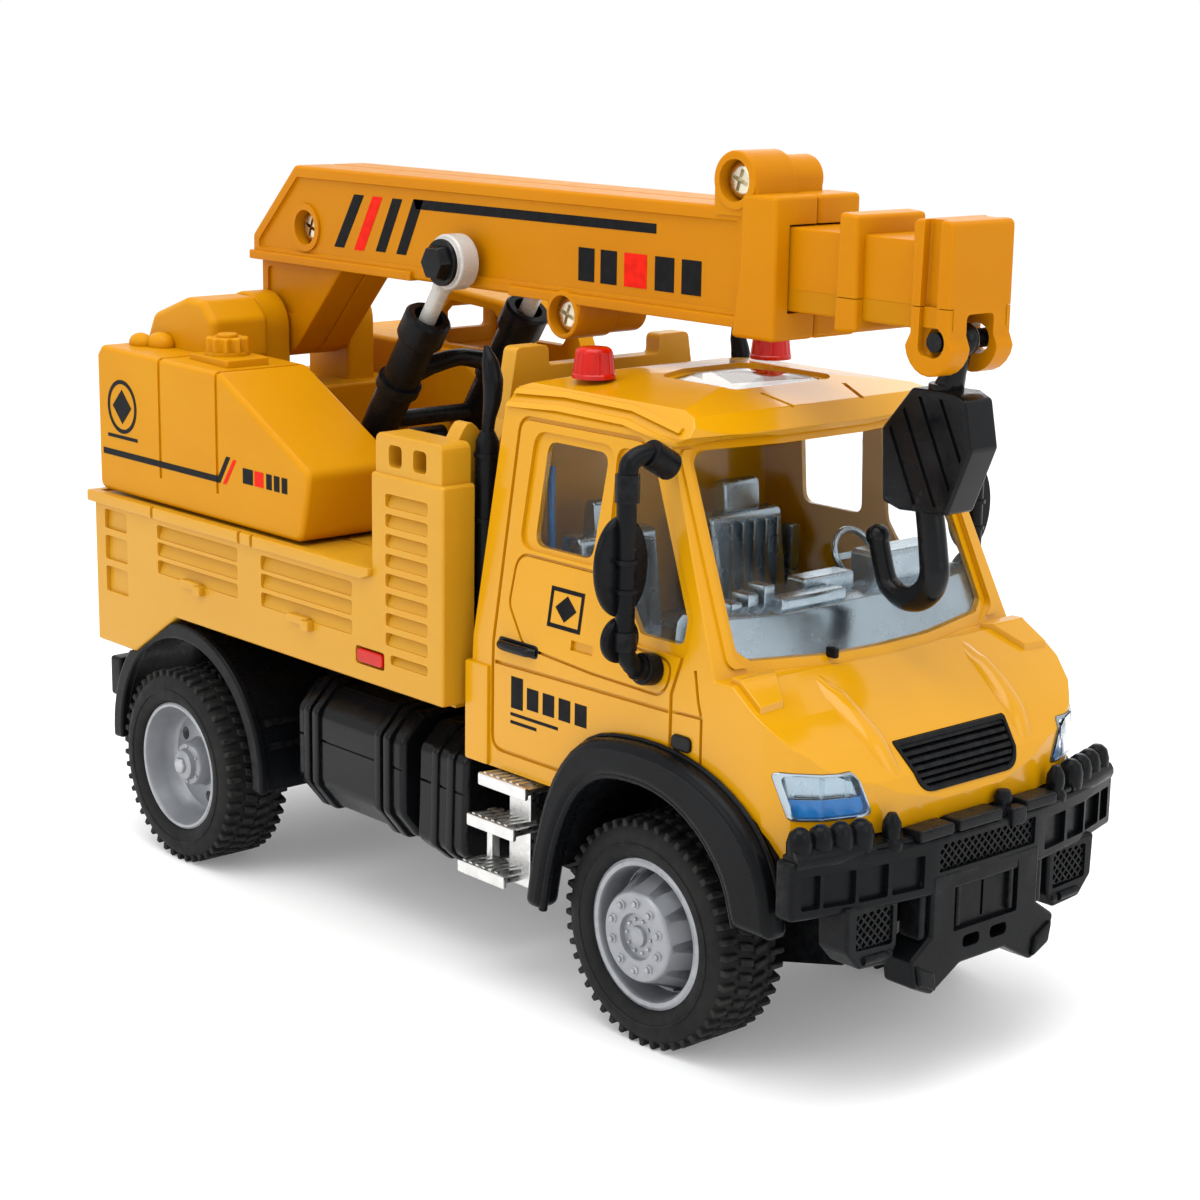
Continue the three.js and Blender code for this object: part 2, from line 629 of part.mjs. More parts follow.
// ---------- boom ----------
const INNER_HALF = 4.6;
const INNER_LOW = 86.4;
const INNER_HIGH = 96.2;
const COLLAR = { x0: -5.4, x1: 0.9, half: 7.2, low: 82.9, high: 99.8 };
const SEAM = 0.15; // half of the gap between the boom's two halves
const SCREW_HOLE_R = 1.3;
const SCREW_HOLE_END = 4.4; // the holes in the left half are blind
const LEFT_BOSS_R = 2.8;

// The (x, z) place of each screw, its boss on the right half, and the face of its head.
const SCREWS = [
  { at: [-94.2, 89.4], bossR: 0, headY: -5 },
  { at: [-6.3, 101.2], bossR: 3.5, headY: -6 },
  { at: [-36.8, 82.5], bossR: 3.1, headY: -6 },
];

// One half of the boom, drawn on the right of the seam; the left half is then mirrored across.
// The screw heads sit in the right half.
function boomHalf(isRight) {
  const beam = [
    [COLLAR.x0 + 1, BOOM_BOTTOM], [COLLAR.x0 + 1, BOOM_TOP], [-96.5, BOOM_TOP], [-107.2, 87.6],
    [-107.2, BOOM_BOTTOM],
  ];
  const leg = [
    [-86, BOOM_BOTTOM + 1], [-107.2, BOOM_BOTTOM + 1], [-107.2, 76], [-106.6, 71.6], [-104.5, 70],
    [-101.4, 70], [-98.6, 71.4],
  ];
  const solids = [
    sidePlate(beam, -BOOM_HALF, 0),
    sidePlate(leg.reverse(), -4.8, 0),
    block(COLLAR.x0, COLLAR.x1, -COLLAR.half, 0, COLLAR.low, COLLAR.high),
  ];
  for (const { at, bossR } of SCREWS.filter((screw) => screw.bossR > 0)) {
    const radius = isRight ? bossR : LEFT_BOSS_R;
    solids.push(rod('y', isRight ? -7 : -5.4, 0, at, radius, radius, 20));
  }
  const tools = [
    block(-90, 10, -INNER_HALF - GAP, 1, INNER_LOW - GAP, INNER_HIGH + GAP),
    rod('y', -20, 20, BOOM_PIVOT, PIVOT_PIN_R + GAP, PIVOT_PIN_R + GAP, 20),
    rod('y', -20, -INNER_HALF, LUFF_PIN, 1.8, 1.8, 16),
    block(-200, 50, -SEAM, 1, 60, 110),
  ];
  for (const { at, headY } of SCREWS) {
    tools.push(rod('y', isRight ? -8 : -SCREW_HOLE_END, 1, at, SCREW_HOLE_R, SCREW_HOLE_R, 12));
    if (isRight) tools.push(rod('y', -9, headY + 1.4, at, 2.5, 2.5, 16));
  }
  const half = cut(join(...solids), ...tools);
  return isRight ? half : mirrorY(half);
}

function boomScrew({ at, headY }) {
  return join(
    rod('y', headY, headY + 1.1, at, 2.2, 2.2, 16),
    rod('y', headY + 1, 3.6, at, 1, 1, 12),
  );
}

function boomPivotPin() {
  return rod('y', -EAR_OUTER - 0.4, EAR_OUTER + 0.4, BOOM_PIVOT, PIVOT_PIN_R, PIVOT_PIN_R, 20);
}

function luffPinCap() {
  return join(
    rod('y', -12, -10.5, LUFF_PIN, 3, 3, 6),
    rod('y', -11, -5.2, LUFF_PIN, 1.4, 1.4, 16),
  );
}

function innerBoom() {
  const bar = block(-62, 21, -INNER_HALF, INNER_HALF, INNER_LOW, INNER_HIGH);
  const collar = block(9.3, 12.4, -5.8, 5.8, 85, 98.5);
  const head = join(
    block(20.3, 25.7, -5.1, 5.1, HOOK_PIVOT[1], 98.5),
    block(20.3, 25.7, -5.1, 5.1, HOOK_PIVOT[1] - 1, 90),
    rod('y', -5.1, 5.1, [23, HOOK_PIVOT[1]], 3.9, 3.9, 24),
  );
  const slot = block(17, 30, -2.3, 2.3, 70, 87.9);
  const eyes = rod('y', -10, 10, HOOK_PIVOT, 1.5, 1.5, 16);
  return cut(join(bar, collar, head), slot, eyes, block(-63, -10, -3.2, 3.2, 88, 94.6));
}

function hook() {
  const ball = new THREE.SphereGeometry(1.9, 20, 12);
  ball.translate(HOOK_PIVOT[0], 0, HOOK_PIVOT[1]);
  const plate = sidePlate([
    [17.1, 65.1], [24.3, 65.5], [27.5, 73.3], [26.4, 78.7], [24.6, 79.3], [18.3, 79.2], [14, 74.3],
    [14.5, 65.8],
  ], -2, 2);
  const centre = [17, 58.4];
  const arc = arcPoints(centre, 4, 20, -190, 7).map(([x, z]) => [x, 0, z]);
  const shank = bentBar([[19.6, 0, 66], [19.8, 0, 63.2], ...arc], 1.5, 18, 8);
  return join(
    toSolid(ball),
    rod('y', -4.8, 4.8, HOOK_PIVOT, 1.1, 1.1, 12),
    strut([HOOK_PIVOT[0], 0, HOOK_PIVOT[1]], [21.6, 0, 78], 1.3, 12),
    plate,
    shank,
  );
}

// ---------- luffing cylinders ----------
const ram = new THREE.Vector2(LUFF_PIN[0] - CYLINDER_BASE[0], LUFF_PIN[1] - CYLINDER_BASE[1]);
ram.normalize();

// Points on a cylinder's line, measured up from its base or down from the pin at its top.
function along(distance, y) {
  return [CYLINDER_BASE[0] + ram.x * distance, y, CYLINDER_BASE[1] + ram.y * distance];
}

function belowPin(distance, y) {
  return [LUFF_PIN[0] - ram.x * distance, y, LUFF_PIN[1] - ram.y * distance];
}

function cylinderBarrels() {
  const sides = [-CYLINDER_Y, CYLINDER_Y];
  const barrels = sides.map((y) => join(
    strut(along(0, y), along(BARREL_LENGTH, y), BARREL_R, 16),
    strut(along(BARREL_LENGTH - 3.4, y), along(BARREL_LENGTH, y), BARREL_R + 0.4, 16),
    strut(along(10.4, y), along(11.6, y), BARREL_R + 0.4, 16),
  ));
  const bores = sides.map((y) => (
    strut(along(2, y), along(BARREL_LENGTH + 2, y), BARREL_BORE_R, 16)
  ));
  const bridge = bentBar([
    along(14, -CYLINDER_Y), along(11.4, -3), along(11.4, 3), along(14, CYLINDER_Y),
  ], 1.2, 8, 8);
  const trunnion = rod('y', -14, 14, CYLINDER_BASE, TRUNNION_R, TRUNNION_R, 16);
  return cut(join(...barrels, bridge, trunnion), ...bores);
}

function cylinderRod() {
  const eye = rod('y', -10.2, -7.2, LUFF_PIN, 3.7, 3.7, 24);
  const shaft = strut(belowPin(2.6, -CYLINDER_Y), belowPin(ROD_LENGTH, -CYLINDER_Y), ROD_R, 16);
  return cut(join(eye, shaft), rod('y', -12, -5, LUFF_PIN, 1.75, 1.75, 16));
}

// ---------- inside ----------
function batteryCover() {
  return block(CELL_BAY.x0 + GAP, CELL_BAY.x1 - GAP, -9.2, 9.2, 10.4, 11.8);
}

// Three button cells in a row, held together by the contact strip on top of them.
function buttonCells() {
  const cells = [-61, -53, -45].map((x) => rod('z', 12.2, 14.2, [x, 0], 3.8, 3.8, 20));
  return join(...cells, block(-64, -42, -2, 2, 14, 14.6));
}

function circuitBoard() {
  return block(-64, -42, -9, 9, 18, 19.4);
}

function speaker() {
  return join(
    rod('z', 20, 23.6, [-53, 0], 6, 6, 24),
    rod('z', 23.4, 26, [-53, 0], 3.6, 3.6, 20),
  );
}

// ---------- assembly ----------
wheelSet('front', 0, FRONT_TRACK_HALF);
wheelSet('rear', -WHEELBASE, REAR_TRACK_HALF);
piece('axle_gear', 'black', axleGear());
piece('chassis_frame', 'black', chassisFrame());
piece('pullback_motor_case', 'black', motorCase());
piece('battery_cover', 'black', batteryCover());
piece('button_cells', 'steel', buttonCells());
piece('circuit_board', 'green', circuitBoard());
piece('speaker', 'silver', speaker());
pair('front_fender', 'black', frontFender());
pair('rear_fender', 'black', rearFender());
piece('front_bumper', 'black', frontBumper());
piece('rear_bumper', 'black', rearBumper());
pair('side_tank', 'black', sideTank());
pair('front_tank', 'black', frontTank());
pair('steps', 'chrome', stepSet());
pair('exhaust_stack', 'black', exhaustStack());
piece('cab_shell', 'yellow', cabShell());
piece('window_glass', 'clear', windowGlass());
piece('cab_interior', 'silver', cabInterior());
piece('radiator_grille', 'black', grille());
pair('headlight', 'clear', headlight());
piece('beacon_right', 'red', beacon(-1));
piece('beacon_left', 'red', beacon(1));
pair('mirror', 'black', mirror());
piece('bed_body', 'yellow', bedBody());
pair('marker_lamp', 'red', markerLamp());
piece('turret_house', 'yellow', turretHouse());
piece('turret_base_plate', 'black', turretBasePlate());
piece('slew_retainer', 'black', slewRetainer());
piece('boom_half_right', 'yellow', boomHalf(true));
piece('boom_half_left', 'yellow', boomHalf(false));
SCREWS.forEach((screw, i) => piece(`boom_screw_${i + 1}`, 'steel', boomScrew(screw)));
piece('boom_pivot_pin', 'steel', boomPivotPin());
pair('luff_pin_cap', 'black', luffPinCap());
piece('inner_boom', 'yellow', innerBoom());
piece('hook_block', 'black', hook());
piece('cylinder_barrels', 'black', cylinderBarrels());
pair('cylinder_rod', 'grey', cylinderRod());

export default truck;
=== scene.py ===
"""Looks for the toy crane truck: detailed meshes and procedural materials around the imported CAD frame.

Shapes are worked out in millimetres, measured along X from the front axle, and turned into the frame's
metres when a piece is made. Right-hand pieces lie at negative Y and the left-hand ones mirror them.
"""

import json
import math

import bmesh
import bpy
from mathutils import Matrix, Vector


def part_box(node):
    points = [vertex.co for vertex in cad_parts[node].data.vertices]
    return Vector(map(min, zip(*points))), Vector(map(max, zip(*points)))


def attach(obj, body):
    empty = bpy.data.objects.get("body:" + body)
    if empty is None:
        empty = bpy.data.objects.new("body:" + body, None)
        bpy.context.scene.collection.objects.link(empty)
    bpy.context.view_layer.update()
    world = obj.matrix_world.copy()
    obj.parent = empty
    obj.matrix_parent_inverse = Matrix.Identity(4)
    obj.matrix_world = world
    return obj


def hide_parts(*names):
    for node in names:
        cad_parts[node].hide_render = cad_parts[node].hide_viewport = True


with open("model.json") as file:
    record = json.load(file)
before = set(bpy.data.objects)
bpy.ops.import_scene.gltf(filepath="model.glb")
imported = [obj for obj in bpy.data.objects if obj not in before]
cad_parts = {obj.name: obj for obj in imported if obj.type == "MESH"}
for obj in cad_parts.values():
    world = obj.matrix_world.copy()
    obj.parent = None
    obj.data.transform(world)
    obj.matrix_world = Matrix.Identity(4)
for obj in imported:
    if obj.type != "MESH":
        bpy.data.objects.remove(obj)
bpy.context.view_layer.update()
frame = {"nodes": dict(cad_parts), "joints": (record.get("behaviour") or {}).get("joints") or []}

MM = 0.001


def cad(node):
    """Lowest and highest corner of a CAD node, in millimetres from the front axle."""
    low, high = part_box(node)
    return [[(v - o) / MM for v, o in zip(corner, (AXLE_X, 0, 0))] for corner in (low, high)]


AXLE_X = sum(corner[0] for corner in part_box("front_axle")) / 2
WHEELBASE = -sum(corner[0] for corner in cad("rear_axle")) / 2
TYRE_R = cad("front_tyre_right")[1][2] / 2
TYRE_WIDTH = cad("front_tyre_right")[1][1] - cad("front_tyre_right")[0][1]
FRONT_FACE = -cad("front_tyre_right")[0][1]
REAR_FACE = -cad("rear_tyre_right")[0][1]
JOINT_AT = {joint["name"]: joint.get("pos_m") for joint in frame["joints"]}


def pivot(name):
    """(x, z) of a hinge whose axis runs across the truck, in millimetres from the front axle."""
    at = JOINT_AT[name]
    return (at[0] - AXLE_X) / MM, at[2] / MM


# ---------------------------------------------------------------- solids

PLACE = {
    "x": lambda u, v, w: (w, u, v),
    "y": lambda u, v, w: (u, w, v),
    "z": lambda u, v, w: (u, v, w),
}
TOUCH = 1e-6  # how near a point has to lie to count as being at a height
LATHE_WELD = 1e-5  # points this near are one point after turning a profile
CUT_WELD = 1e-4  # and after a boolean
EDGE_SHARE = 0.49  # the most of an edge that one rounded corner may use up
LEAST_TURN = 0.25  # keeps an inset from shooting out at a needle-sharp corner


def recalculated(bm):
    bmesh.ops.recalc_face_normals(bm, faces=bm.faces)
    return bm


def rect(u0, v0, u1, v1):
    """The corners of a rectangle, starting from its first two numbers."""
    return [(u0, v0), (u1, v0), (u1, v1), (u0, v1)]


def prism(points, axis, low, high):
    """An outline pushed along an axis: (x, z) points for y, (y, z) for x and (x, y) for z."""
    bm = bmesh.new()
    ends = [[bm.verts.new(PLACE[axis](u, v, w)) for u, v in points] for w in (low, high)]
    for ring in ends:
        bm.faces.new(ring)
    count = len(points)
    for i in range(count):
        j = (i + 1) % count
        bm.faces.new((ends[0][i], ends[0][j], ends[1][j], ends[1][i]))
    return recalculated(bm)


def block(x0, x1, y0, y1, z0, z1):
    return prism(rect(x0, z0, x1, z1), "y", y0, y1)


def arc(centre, radius, start, end, steps, squash=1.0):
    """Points on a circle from a start to an end angle in degrees; squash scales its second axis."""
    turns = [math.radians(start + (end - start) * k / steps) for k in range(steps + 1)]
    return [(centre[0] + radius * math.cos(a), centre[1] + radius * squash * math.sin(a)) for a in turns]


def circle(centre, radius, sides, squash=1.0):
    return arc(centre, radius, 0, 360, sides, squash)[:-1]


def fluted(centre, radius, depth, lobes, sides):
    """A circle whose radius waves in and out."""
    turns = [2 * math.pi * k / sides for k in range(sides)]
    reach = [radius + depth * math.cos(lobes * a) for a in turns]
    return [(centre[0] + r * math.cos(a), centre[1] + r * math.sin(a)) for r, a in zip(reach, turns)]


def disc(axis, low, high, centre, radius, sides=32, end_radius=None):
    """A cylinder, or a cone when end_radius is given, along an axis."""
    bm = prism(circle(centre, radius, sides), axis, low, high)
    if end_radius is not None:
        index = "xyz".index(axis)
        others = [i for i in range(3) if i != index]
        for v in bm.verts:
            if abs(v.co[index] - high) < TOUCH:
                for i, c in zip(others, centre):
                    v.co[i] = c + (v.co[i] - c) * end_radius / radius
    return bm


def raised(profile, base):
    """(radius, height) points whose heights are measured from a base."""
    return [(r, base + h) for r, h in profile]


def lathe(profile, axis, centre, sides=48):
    """(radius, height) points turned about an axis through the centre. The profile closes on itself."""
    bm = bmesh.new()
    rings = []
    for k in range(sides):
        angle = 2 * math.pi * k / sides
        across, up = math.cos(angle), math.sin(angle)
        rings.append([bm.verts.new(PLACE[axis](centre[0] + r * across, centre[1] + r * up, h))
                      for r, h in profile])
    count = len(profile)
    for k in range(sides):
        here, after = rings[k], rings[(k + 1) % sides]
        for i in range(count):
            j = (i + 1) % count
            bm.faces.new((here[i], here[j], after[j], after[i]))
    bmesh.ops.remove_doubles(bm, verts=bm.verts, dist=LATHE_WELD)
    bmesh.ops.dissolve_degenerate(bm, dist=LATHE_WELD, edges=bm.edges)
    return recalculated(bm)


def smooth_path(points, per_span):
    """Catmull-Rom curve through the points."""
    pts = [Vector(p) for p in points]
    pts = [pts[0] * 2 - pts[1]] + pts + [pts[-1] * 2 - pts[-2]]
    path = []
    for a, b, c, d in zip(pts, pts[1:], pts[2:], pts[3:]):
        for k in range(per_span):
            t = k / per_span
            path.append(0.5 * (2 * b + (c - a) * t + (2 * a - 5 * b + 4 * c - d) * t * t
                               + (3 * b - a - 3 * c + d) * t ** 3))
    return path + [pts[-2]]


def tube(points, radius, sides=16, per_span=6, straight=False, flat=1.0):
    """A round bar along the points. radius is one number, or one a point. flat squeezes one axis."""
    path = [Vector(p) for p in points] if straight else smooth_path(points, per_span)
    if isinstance(radius, (int, float)):
        radii = [radius] * len(path)
    else:
        spans = len(points) - 1
        radii = []
        for i in range(len(path)):
            t = i / (len(path) - 1) * spans
            k = min(int(t), spans - 1)
            radii.append(radius[k] + (radius[k + 1] - radius[k]) * (t - k))
    bm = bmesh.new()
    rings = []
    across = None
    for i, p in enumerate(path):
        ahead = (path[min(i + 1, len(path) - 1)] - path[max(i - 1, 0)]).normalized()
        if across is None:
            across = ahead.orthogonal().normalized()
        across = (across - ahead * across.dot(ahead)).normalized()
        side = ahead.cross(across)
        rings.append([bm.verts.new(p + radii[i] * (math.cos(a) * across + flat * math.sin(a) * side))
                      for a in (2 * math.pi * k / sides for k in range(sides))])
    for here, after in zip(rings, rings[1:]):
        for k in range(sides):
            j = (k + 1) % sides
            bm.faces.new((here[k], here[j], after[j], after[k]))
    bm.faces.new(rings[0])
    bm.faces.new(rings[-1])
    return recalculated(bm)


def straight_bar(start, end, radius, sides):
    return tube([start, end], radius, sides, straight=True)


def ball(centre, radius, squash=(1, 1, 1), sides=20):
    bm = bmesh.new()
    bmesh.ops.create_uvsphere(bm, u_segments=sides, v_segments=sides // 2, radius=radius)
    bmesh.ops.scale(bm, vec=squash, verts=bm.verts)
    bmesh.ops.translate(bm, vec=centre, verts=bm.verts)
    return bm


def rounded(points, radius, steps=4):
    """The outline with its corners rounded. radius is one number, or one a corner with 0 for sharp."""
    out = []
    count = len(points)
    for i in range(count):
        here = Vector(points[i])
        r = radius if isinstance(radius, (int, float)) else radius[i]
        before = Vector(points[i - 1]) - here
        after = Vector(points[(i + 1) % count]) - here
        if r <= 0:
            out.append(tuple(here))
            continue
        angle = before.angle(after)
        reach = min(r / math.tan(angle / 2), before.length * EDGE_SHARE, after.length * EDGE_SHARE)
        a = here + before.normalized() * reach
        b = here + after.normalized() * reach
        for k in range(steps + 1):
            t = k / steps
            out.append(tuple(a * (1 - t) ** 2 + here * 2 * t * (1 - t) + b * t ** 2))
    return out


def inset(points, distance):
    """Every edge of the outline moved inwards, or outwards for a negative distance."""
    area = sum(a[0] * b[1] - b[0] * a[1] for a, b in zip(points, points[1:] + points[:1]))
    pts = [Vector(p) for p in (points if area > 0 else points[::-1])]
    out = []
    for i, here in enumerate(pts):
        a = (here - pts[i - 1]).normalized()
        b = (pts[(i + 1) % len(pts)] - here).normalized()
        normal = Vector((-a.y - b.y, a.x + b.x)).normalized()
        out.append(tuple(here + normal * distance / max(LEAST_TURN, normal.dot(Vector((-b.y, b.x))))))
    return out


def mesh_of(bm, name="part"):
    """Turns a solid into a mesh and uses it up."""
    mesh = bpy.data.meshes.new(name)
    bm.to_mesh(mesh)
    bm.free()
    return mesh


def linked(name, data):
    """A new object in the scene."""
    obj = bpy.data.objects.new(name, data)
    bpy.context.scene.collection.objects.link(obj)
    return obj


def joined(*solids):
    """Several solids as one bmesh, each keeping its own closed surface."""
    out = bmesh.new()
    for bm in solids:
        mesh = mesh_of(bm)
        out.from_mesh(mesh)
        bpy.data.meshes.remove(mesh)
    return out


def placed(bm, matrix):
    bmesh.ops.transform(bm, matrix=matrix, verts=bm.verts)
    if matrix.determinant() < 0:
        bmesh.ops.reverse_faces(bm, faces=bm.faces)
    return bm


def flipped(bm):
    """The left-hand twin of a right-hand solid."""
    return placed(bm.copy(), Matrix.Scale(-1, 4, (0, 1, 0)))


def both(*solids):
    """Right-hand solids and their left-hand twins."""
    right = joined(*solids)
    twin = flipped(right)
    return joined(right, twin)


def about(axis, degrees, centre):
    at = Matrix.Translation(Vector(centre))
    return at @ Matrix.Rotation(math.radians(degrees), 4, axis.upper()) @ at.inverted()


def soften(bm, width, segments=2, angle=28):
    """Rounds every edge sharper than the angle."""
    edges = [e for e in bm.edges if len(e.link_faces) == 2 and e.calc_face_angle(0) > math.radians(angle)]
    bmesh.ops.bevel(bm, geom=edges, offset=width, segments=segments, profile=0.5, affect="EDGES",
                    clamp_overlap=True, harden_normals=False)
    return bm


def soft_prism(points, axis, low, high, *softening):
    """A prism with rounded edges. The numbers at the end go to soften."""
    return soften(prism(points, axis, low, high), *softening)


def soft_block(x0, x1, y0, y1, z0, z1, *softening):
    return soft_prism(rect(x0, z0, x1, z1), "y", y0, y1, *softening)


def boolean(bm, tool, operation):
    """bm with the tool cut out of it, added to it, or kept only where both are."""
    operands = [linked("operand", mesh_of(solid, "operand")) for solid in (bm, tool)]
    modifier = operands[0].modifiers.new("boolean", "BOOLEAN")
    modifier.operation = operation
    modifier.object = operands[1]
    modifier.solver = "EXACT"
    modifier.use_self = True
    evaluated = operands[0].evaluated_get(bpy.context.evaluated_depsgraph_get())
    out = bmesh.new()
    out.from_mesh(evaluated.to_mesh())
    for obj in operands:
        mesh = obj.data
        bpy.data.objects.remove(obj)
        bpy.data.meshes.remove(mesh)
    bmesh.ops.remove_doubles(out, verts=out.verts, dist=CUT_WELD)
    bmesh.ops.dissolve_degenerate(out, dist=CUT_WELD, edges=out.edges)
    return out


def cut(bm, *tools):
    return boolean(bm, joined(*tools), "DIFFERENCE")


def common(bm, *others):
    for other in others:
        bm = boolean(bm, other, "INTERSECT")
    return bm


def united(*solids):
    bm = solids[0]
    for other in solids[1:]:
        bm = boolean(bm, other, "UNION")
    return bm


TO_FRAME = Matrix.Translation((AXLE_X, 0, 0)) @ Matrix.Scale(MM, 4)
SMOOTH_ANGLE = math.radians(38)


def piece(name, parts, body, node=None):
    """Makes the object NAME_look from (solid, material) parts. It rides on a body and stands for the
    CAD node of its own name, unless another node is given."""
    materials = []
    for bm, material in parts:
        if material not in materials:
            materials.append(material)
        for face in bm.faces:
            face.material_index = materials.index(material)
            face.smooth = True
    whole = joined(*[bm for bm, _ in parts])
    bmesh.ops.transform(whole, matrix=TO_FRAME, verts=whole.verts)
    mesh = mesh_of(whole, f"{name}_look")
    mesh.set_sharp_from_angle(angle=SMOOTH_ANGLE)
    for material in materials:
        mesh.materials.append(material)
    obj = linked(f"{name}_look", mesh)
    obj.modifiers.new("normals", "WEIGHTED_NORMAL").keep_sharp = True
    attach(obj, body)
    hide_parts(node or name)


def pair(name, make, body):
    """A right-hand piece from make(), which gives (solid, material) parts, and its left-hand twin."""
    right = make()
    left = [(flipped(bm), material) for bm, material in right]
    piece(f"{name}_right", right, body)
    piece(f"{name}_left", left, body)


# ---------------------------------------------------------------- materials

class Surface:
    """A Principled material whose colour, roughness and bump vary with noise in the piece's own space."""

    def __init__(self, name, colour, rough, gloss=0.5, metal=0.0, coat=0.0):
        self.material = bpy.data.materials.new(name)
        self.material.use_nodes = True
        self.nodes = self.material.node_tree.nodes
        self.links = self.material.node_tree.links
        self.shader = self.nodes["Principled BSDF"]
        self.colour = colour
        self.rough = rough
        self.put("Base Color", (*colour, 1))
        self.put("Roughness", rough)
        self.put("Specular IOR Level", gloss)
        self.put("Metallic", metal)
        self.put("Coat Weight", coat)
        self.put("Coat Roughness", 0.06)
        self.coord = self.nodes.new("ShaderNodeTexCoord")
        self.last_bump = None
        self.last_colour = None
        self.material.diffuse_color = (*colour, 1)

    def put(self, socket, value):
        self.shader.inputs[socket].default_value = value

    def noise(self, scale, detail=3.0, roughness=0.55, stretch=None):
        node = self.nodes.new("ShaderNodeTexNoise")
        node.inputs["Scale"].default_value = scale
        node.inputs["Detail"].default_value = detail
        node.inputs["Roughness"].default_value = roughness
        if stretch:
            mapping = self.nodes.new("ShaderNodeMapping")
            mapping.inputs["Scale"].default_value = stretch
            self.links.new(self.coord.outputs["Object"], mapping.inputs["Vector"])
            self.links.new(mapping.outputs["Vector"], node.inputs["Vector"])
        else:
            self.links.new(self.coord.outputs["Object"], node.inputs["Vector"])
        return node.outputs["Fac"]

    def ranged(self, value, low, high, to_low, to_high):
        node = self.nodes.new("ShaderNodeMapRange")
        for socket, number in zip(("From Min", "From Max", "To Min", "To Max"),
                                  (low, high, to_low, to_high)):
            node.inputs[socket].default_value = number
        self.links.new(value, node.inputs["Value"])
        return node.outputs["Result"]

    def vary_rough(self, scale, amount, detail=4.0):
        value = self.ranged(self.noise(scale, detail), 0.3, 0.7, self.rough - amount, self.rough + amount)
        self.links.new(value, self.shader.inputs["Roughness"])
        return self

    def tint(self, factor, colour):
        """Mixes a colour in where the factor is high."""
        node = self.nodes.new("ShaderNodeMix")
        node.data_type = "RGBA"
        colours = [s for s in node.inputs if s.type == "RGBA"]
        self.links.new(factor, node.inputs["Factor"])
        if self.last_colour is None:
            colours[0].default_value = (*self.colour, 1)
        else:
            self.links.new(self.last_colour, colours[0])
        colours[1].default_value = (*colour, 1)
        self.last_colour = [s for s in node.outputs if s.type == "RGBA"][0]
        self.links.new(self.last_colour, self.shader.inputs["Base Color"])
        return self

    def mottle(self, scale, colour, amount=0.5, stretch=None):
        return self.tint(self.ranged(self.noise(scale, 3, 0.5, stretch), 0.35, 0.7, 0.0, amount), colour)

    def worn_edges(self, colour, amount, scale=900):
        """Lightens convex edges, broken up by noise."""
        geometry = self.nodes.new("ShaderNodeNewGeometry")
        edge = self.ranged(geometry.outputs["Pointiness"], 0.53, 0.62, 0.0, 1.0)
        spots = self.ranged(self.noise(scale, 5, 0.6), 0.42, 0.62, 0.0, amount)
        both_of = self.nodes.new("ShaderNodeMath")
        both_of.operation = "MULTIPLY"
        self.links.new(edge, both_of.inputs[0])
        self.links.new(spots, both_of.inputs[1])
        return self.tint(both_of.outputs[0], colour)

    def bump(self, scale, depth_mm, strength=0.5, detail=3.0, stretch=None):
        node = self.nodes.new("ShaderNodeBump")
        node.inputs["Strength"].default_value = strength
        node.inputs["Distance"].default_value = depth_mm * MM
        self.links.new(self.noise(scale, detail, 0.5, stretch), node.inputs["Height"])
        if self.last_bump is not None:
            self.links.new(self.last_bump, node.inputs["Normal"])
        self.last_bump = node.outputs["Normal"]
        self.links.new(self.last_bump, self.shader.inputs["Normal"])
        return self


def cab_paint():
    s = Surface("cab_paint", (0.60, 0.282, 0.002), 0.18, 0.25, coat=0.25)
    s.mottle(60, (0.57, 0.26, 0.0015), 0.6)
    return s.vary_rough(350, 0.035).bump(420, 0.02, 0.35).bump(2600, 0.006, 0.25).material


def yellow_plastic(name, colour, shade, gloss):
    s = Surface(name, colour, 0.36, gloss)
    s.put("Subsurface Weight", 0.16)
    s.put("Subsurface Radius", (0.004, 0.0015, 0.0004))
    s.put("Subsurface Scale", 0.5)
    s.mottle(38, shade, 0.75, (1, 1, 2.5))
    return s.vary_rough(500, 0.05).bump(260, 0.012, 0.3).bump(4200, 0.005, 0.3).material


def black_plastic(name, rough, depth, gloss):
    s = Surface(name, (0.003, 0.0033, 0.0039), rough, gloss)
    s.mottle(90, (0.006, 0.0066, 0.0078), 0.8).worn_edges((0.024, 0.024, 0.025), 0.35)
    return s.vary_rough(600, 0.09).bump(1100, 0.015, 0.4).bump(5200, depth, 0.45).material


def tyre_rubber():
    s = Surface("tyre_rubber", (0.0075, 0.0077, 0.008), 0.66, 0.15)
    s.mottle(150, (0.014, 0.0135, 0.013), 0.9).worn_edges((0.03, 0.029, 0.027), 0.6)
    return s.vary_rough(800, 0.1).bump(3200, 0.02, 0.6).material


def rim_silver():
    s = Surface("rim_silver", (0.30, 0.31, 0.33), 0.38, metal=0.5)
    s.mottle(260, (0.24, 0.25, 0.27), 0.7).worn_edges((0.62, 0.63, 0.65), 0.6)
    return s.vary_rough(900, 0.08).bump(3800, 0.012, 0.45).material


def plated(name, colour, rough, scratch):
    s = Surface(name, colour, rough, metal=1.0)
    s.mottle(400, tuple(c * 0.7 for c in colour), 0.5)
    return s.vary_rough(1300, rough * 0.4).bump(900, scratch, 0.4, 4, (1, 6, 1)).material


def interior_silver():
    s = Surface("interior_silver", (0.40, 0.47, 0.52), 0.25, metal=0.95)
    s.mottle(120, (0.30, 0.35, 0.39), 0.7)
    return s.vary_rough(300, 0.05).bump(1500, 0.003, 0.2).material


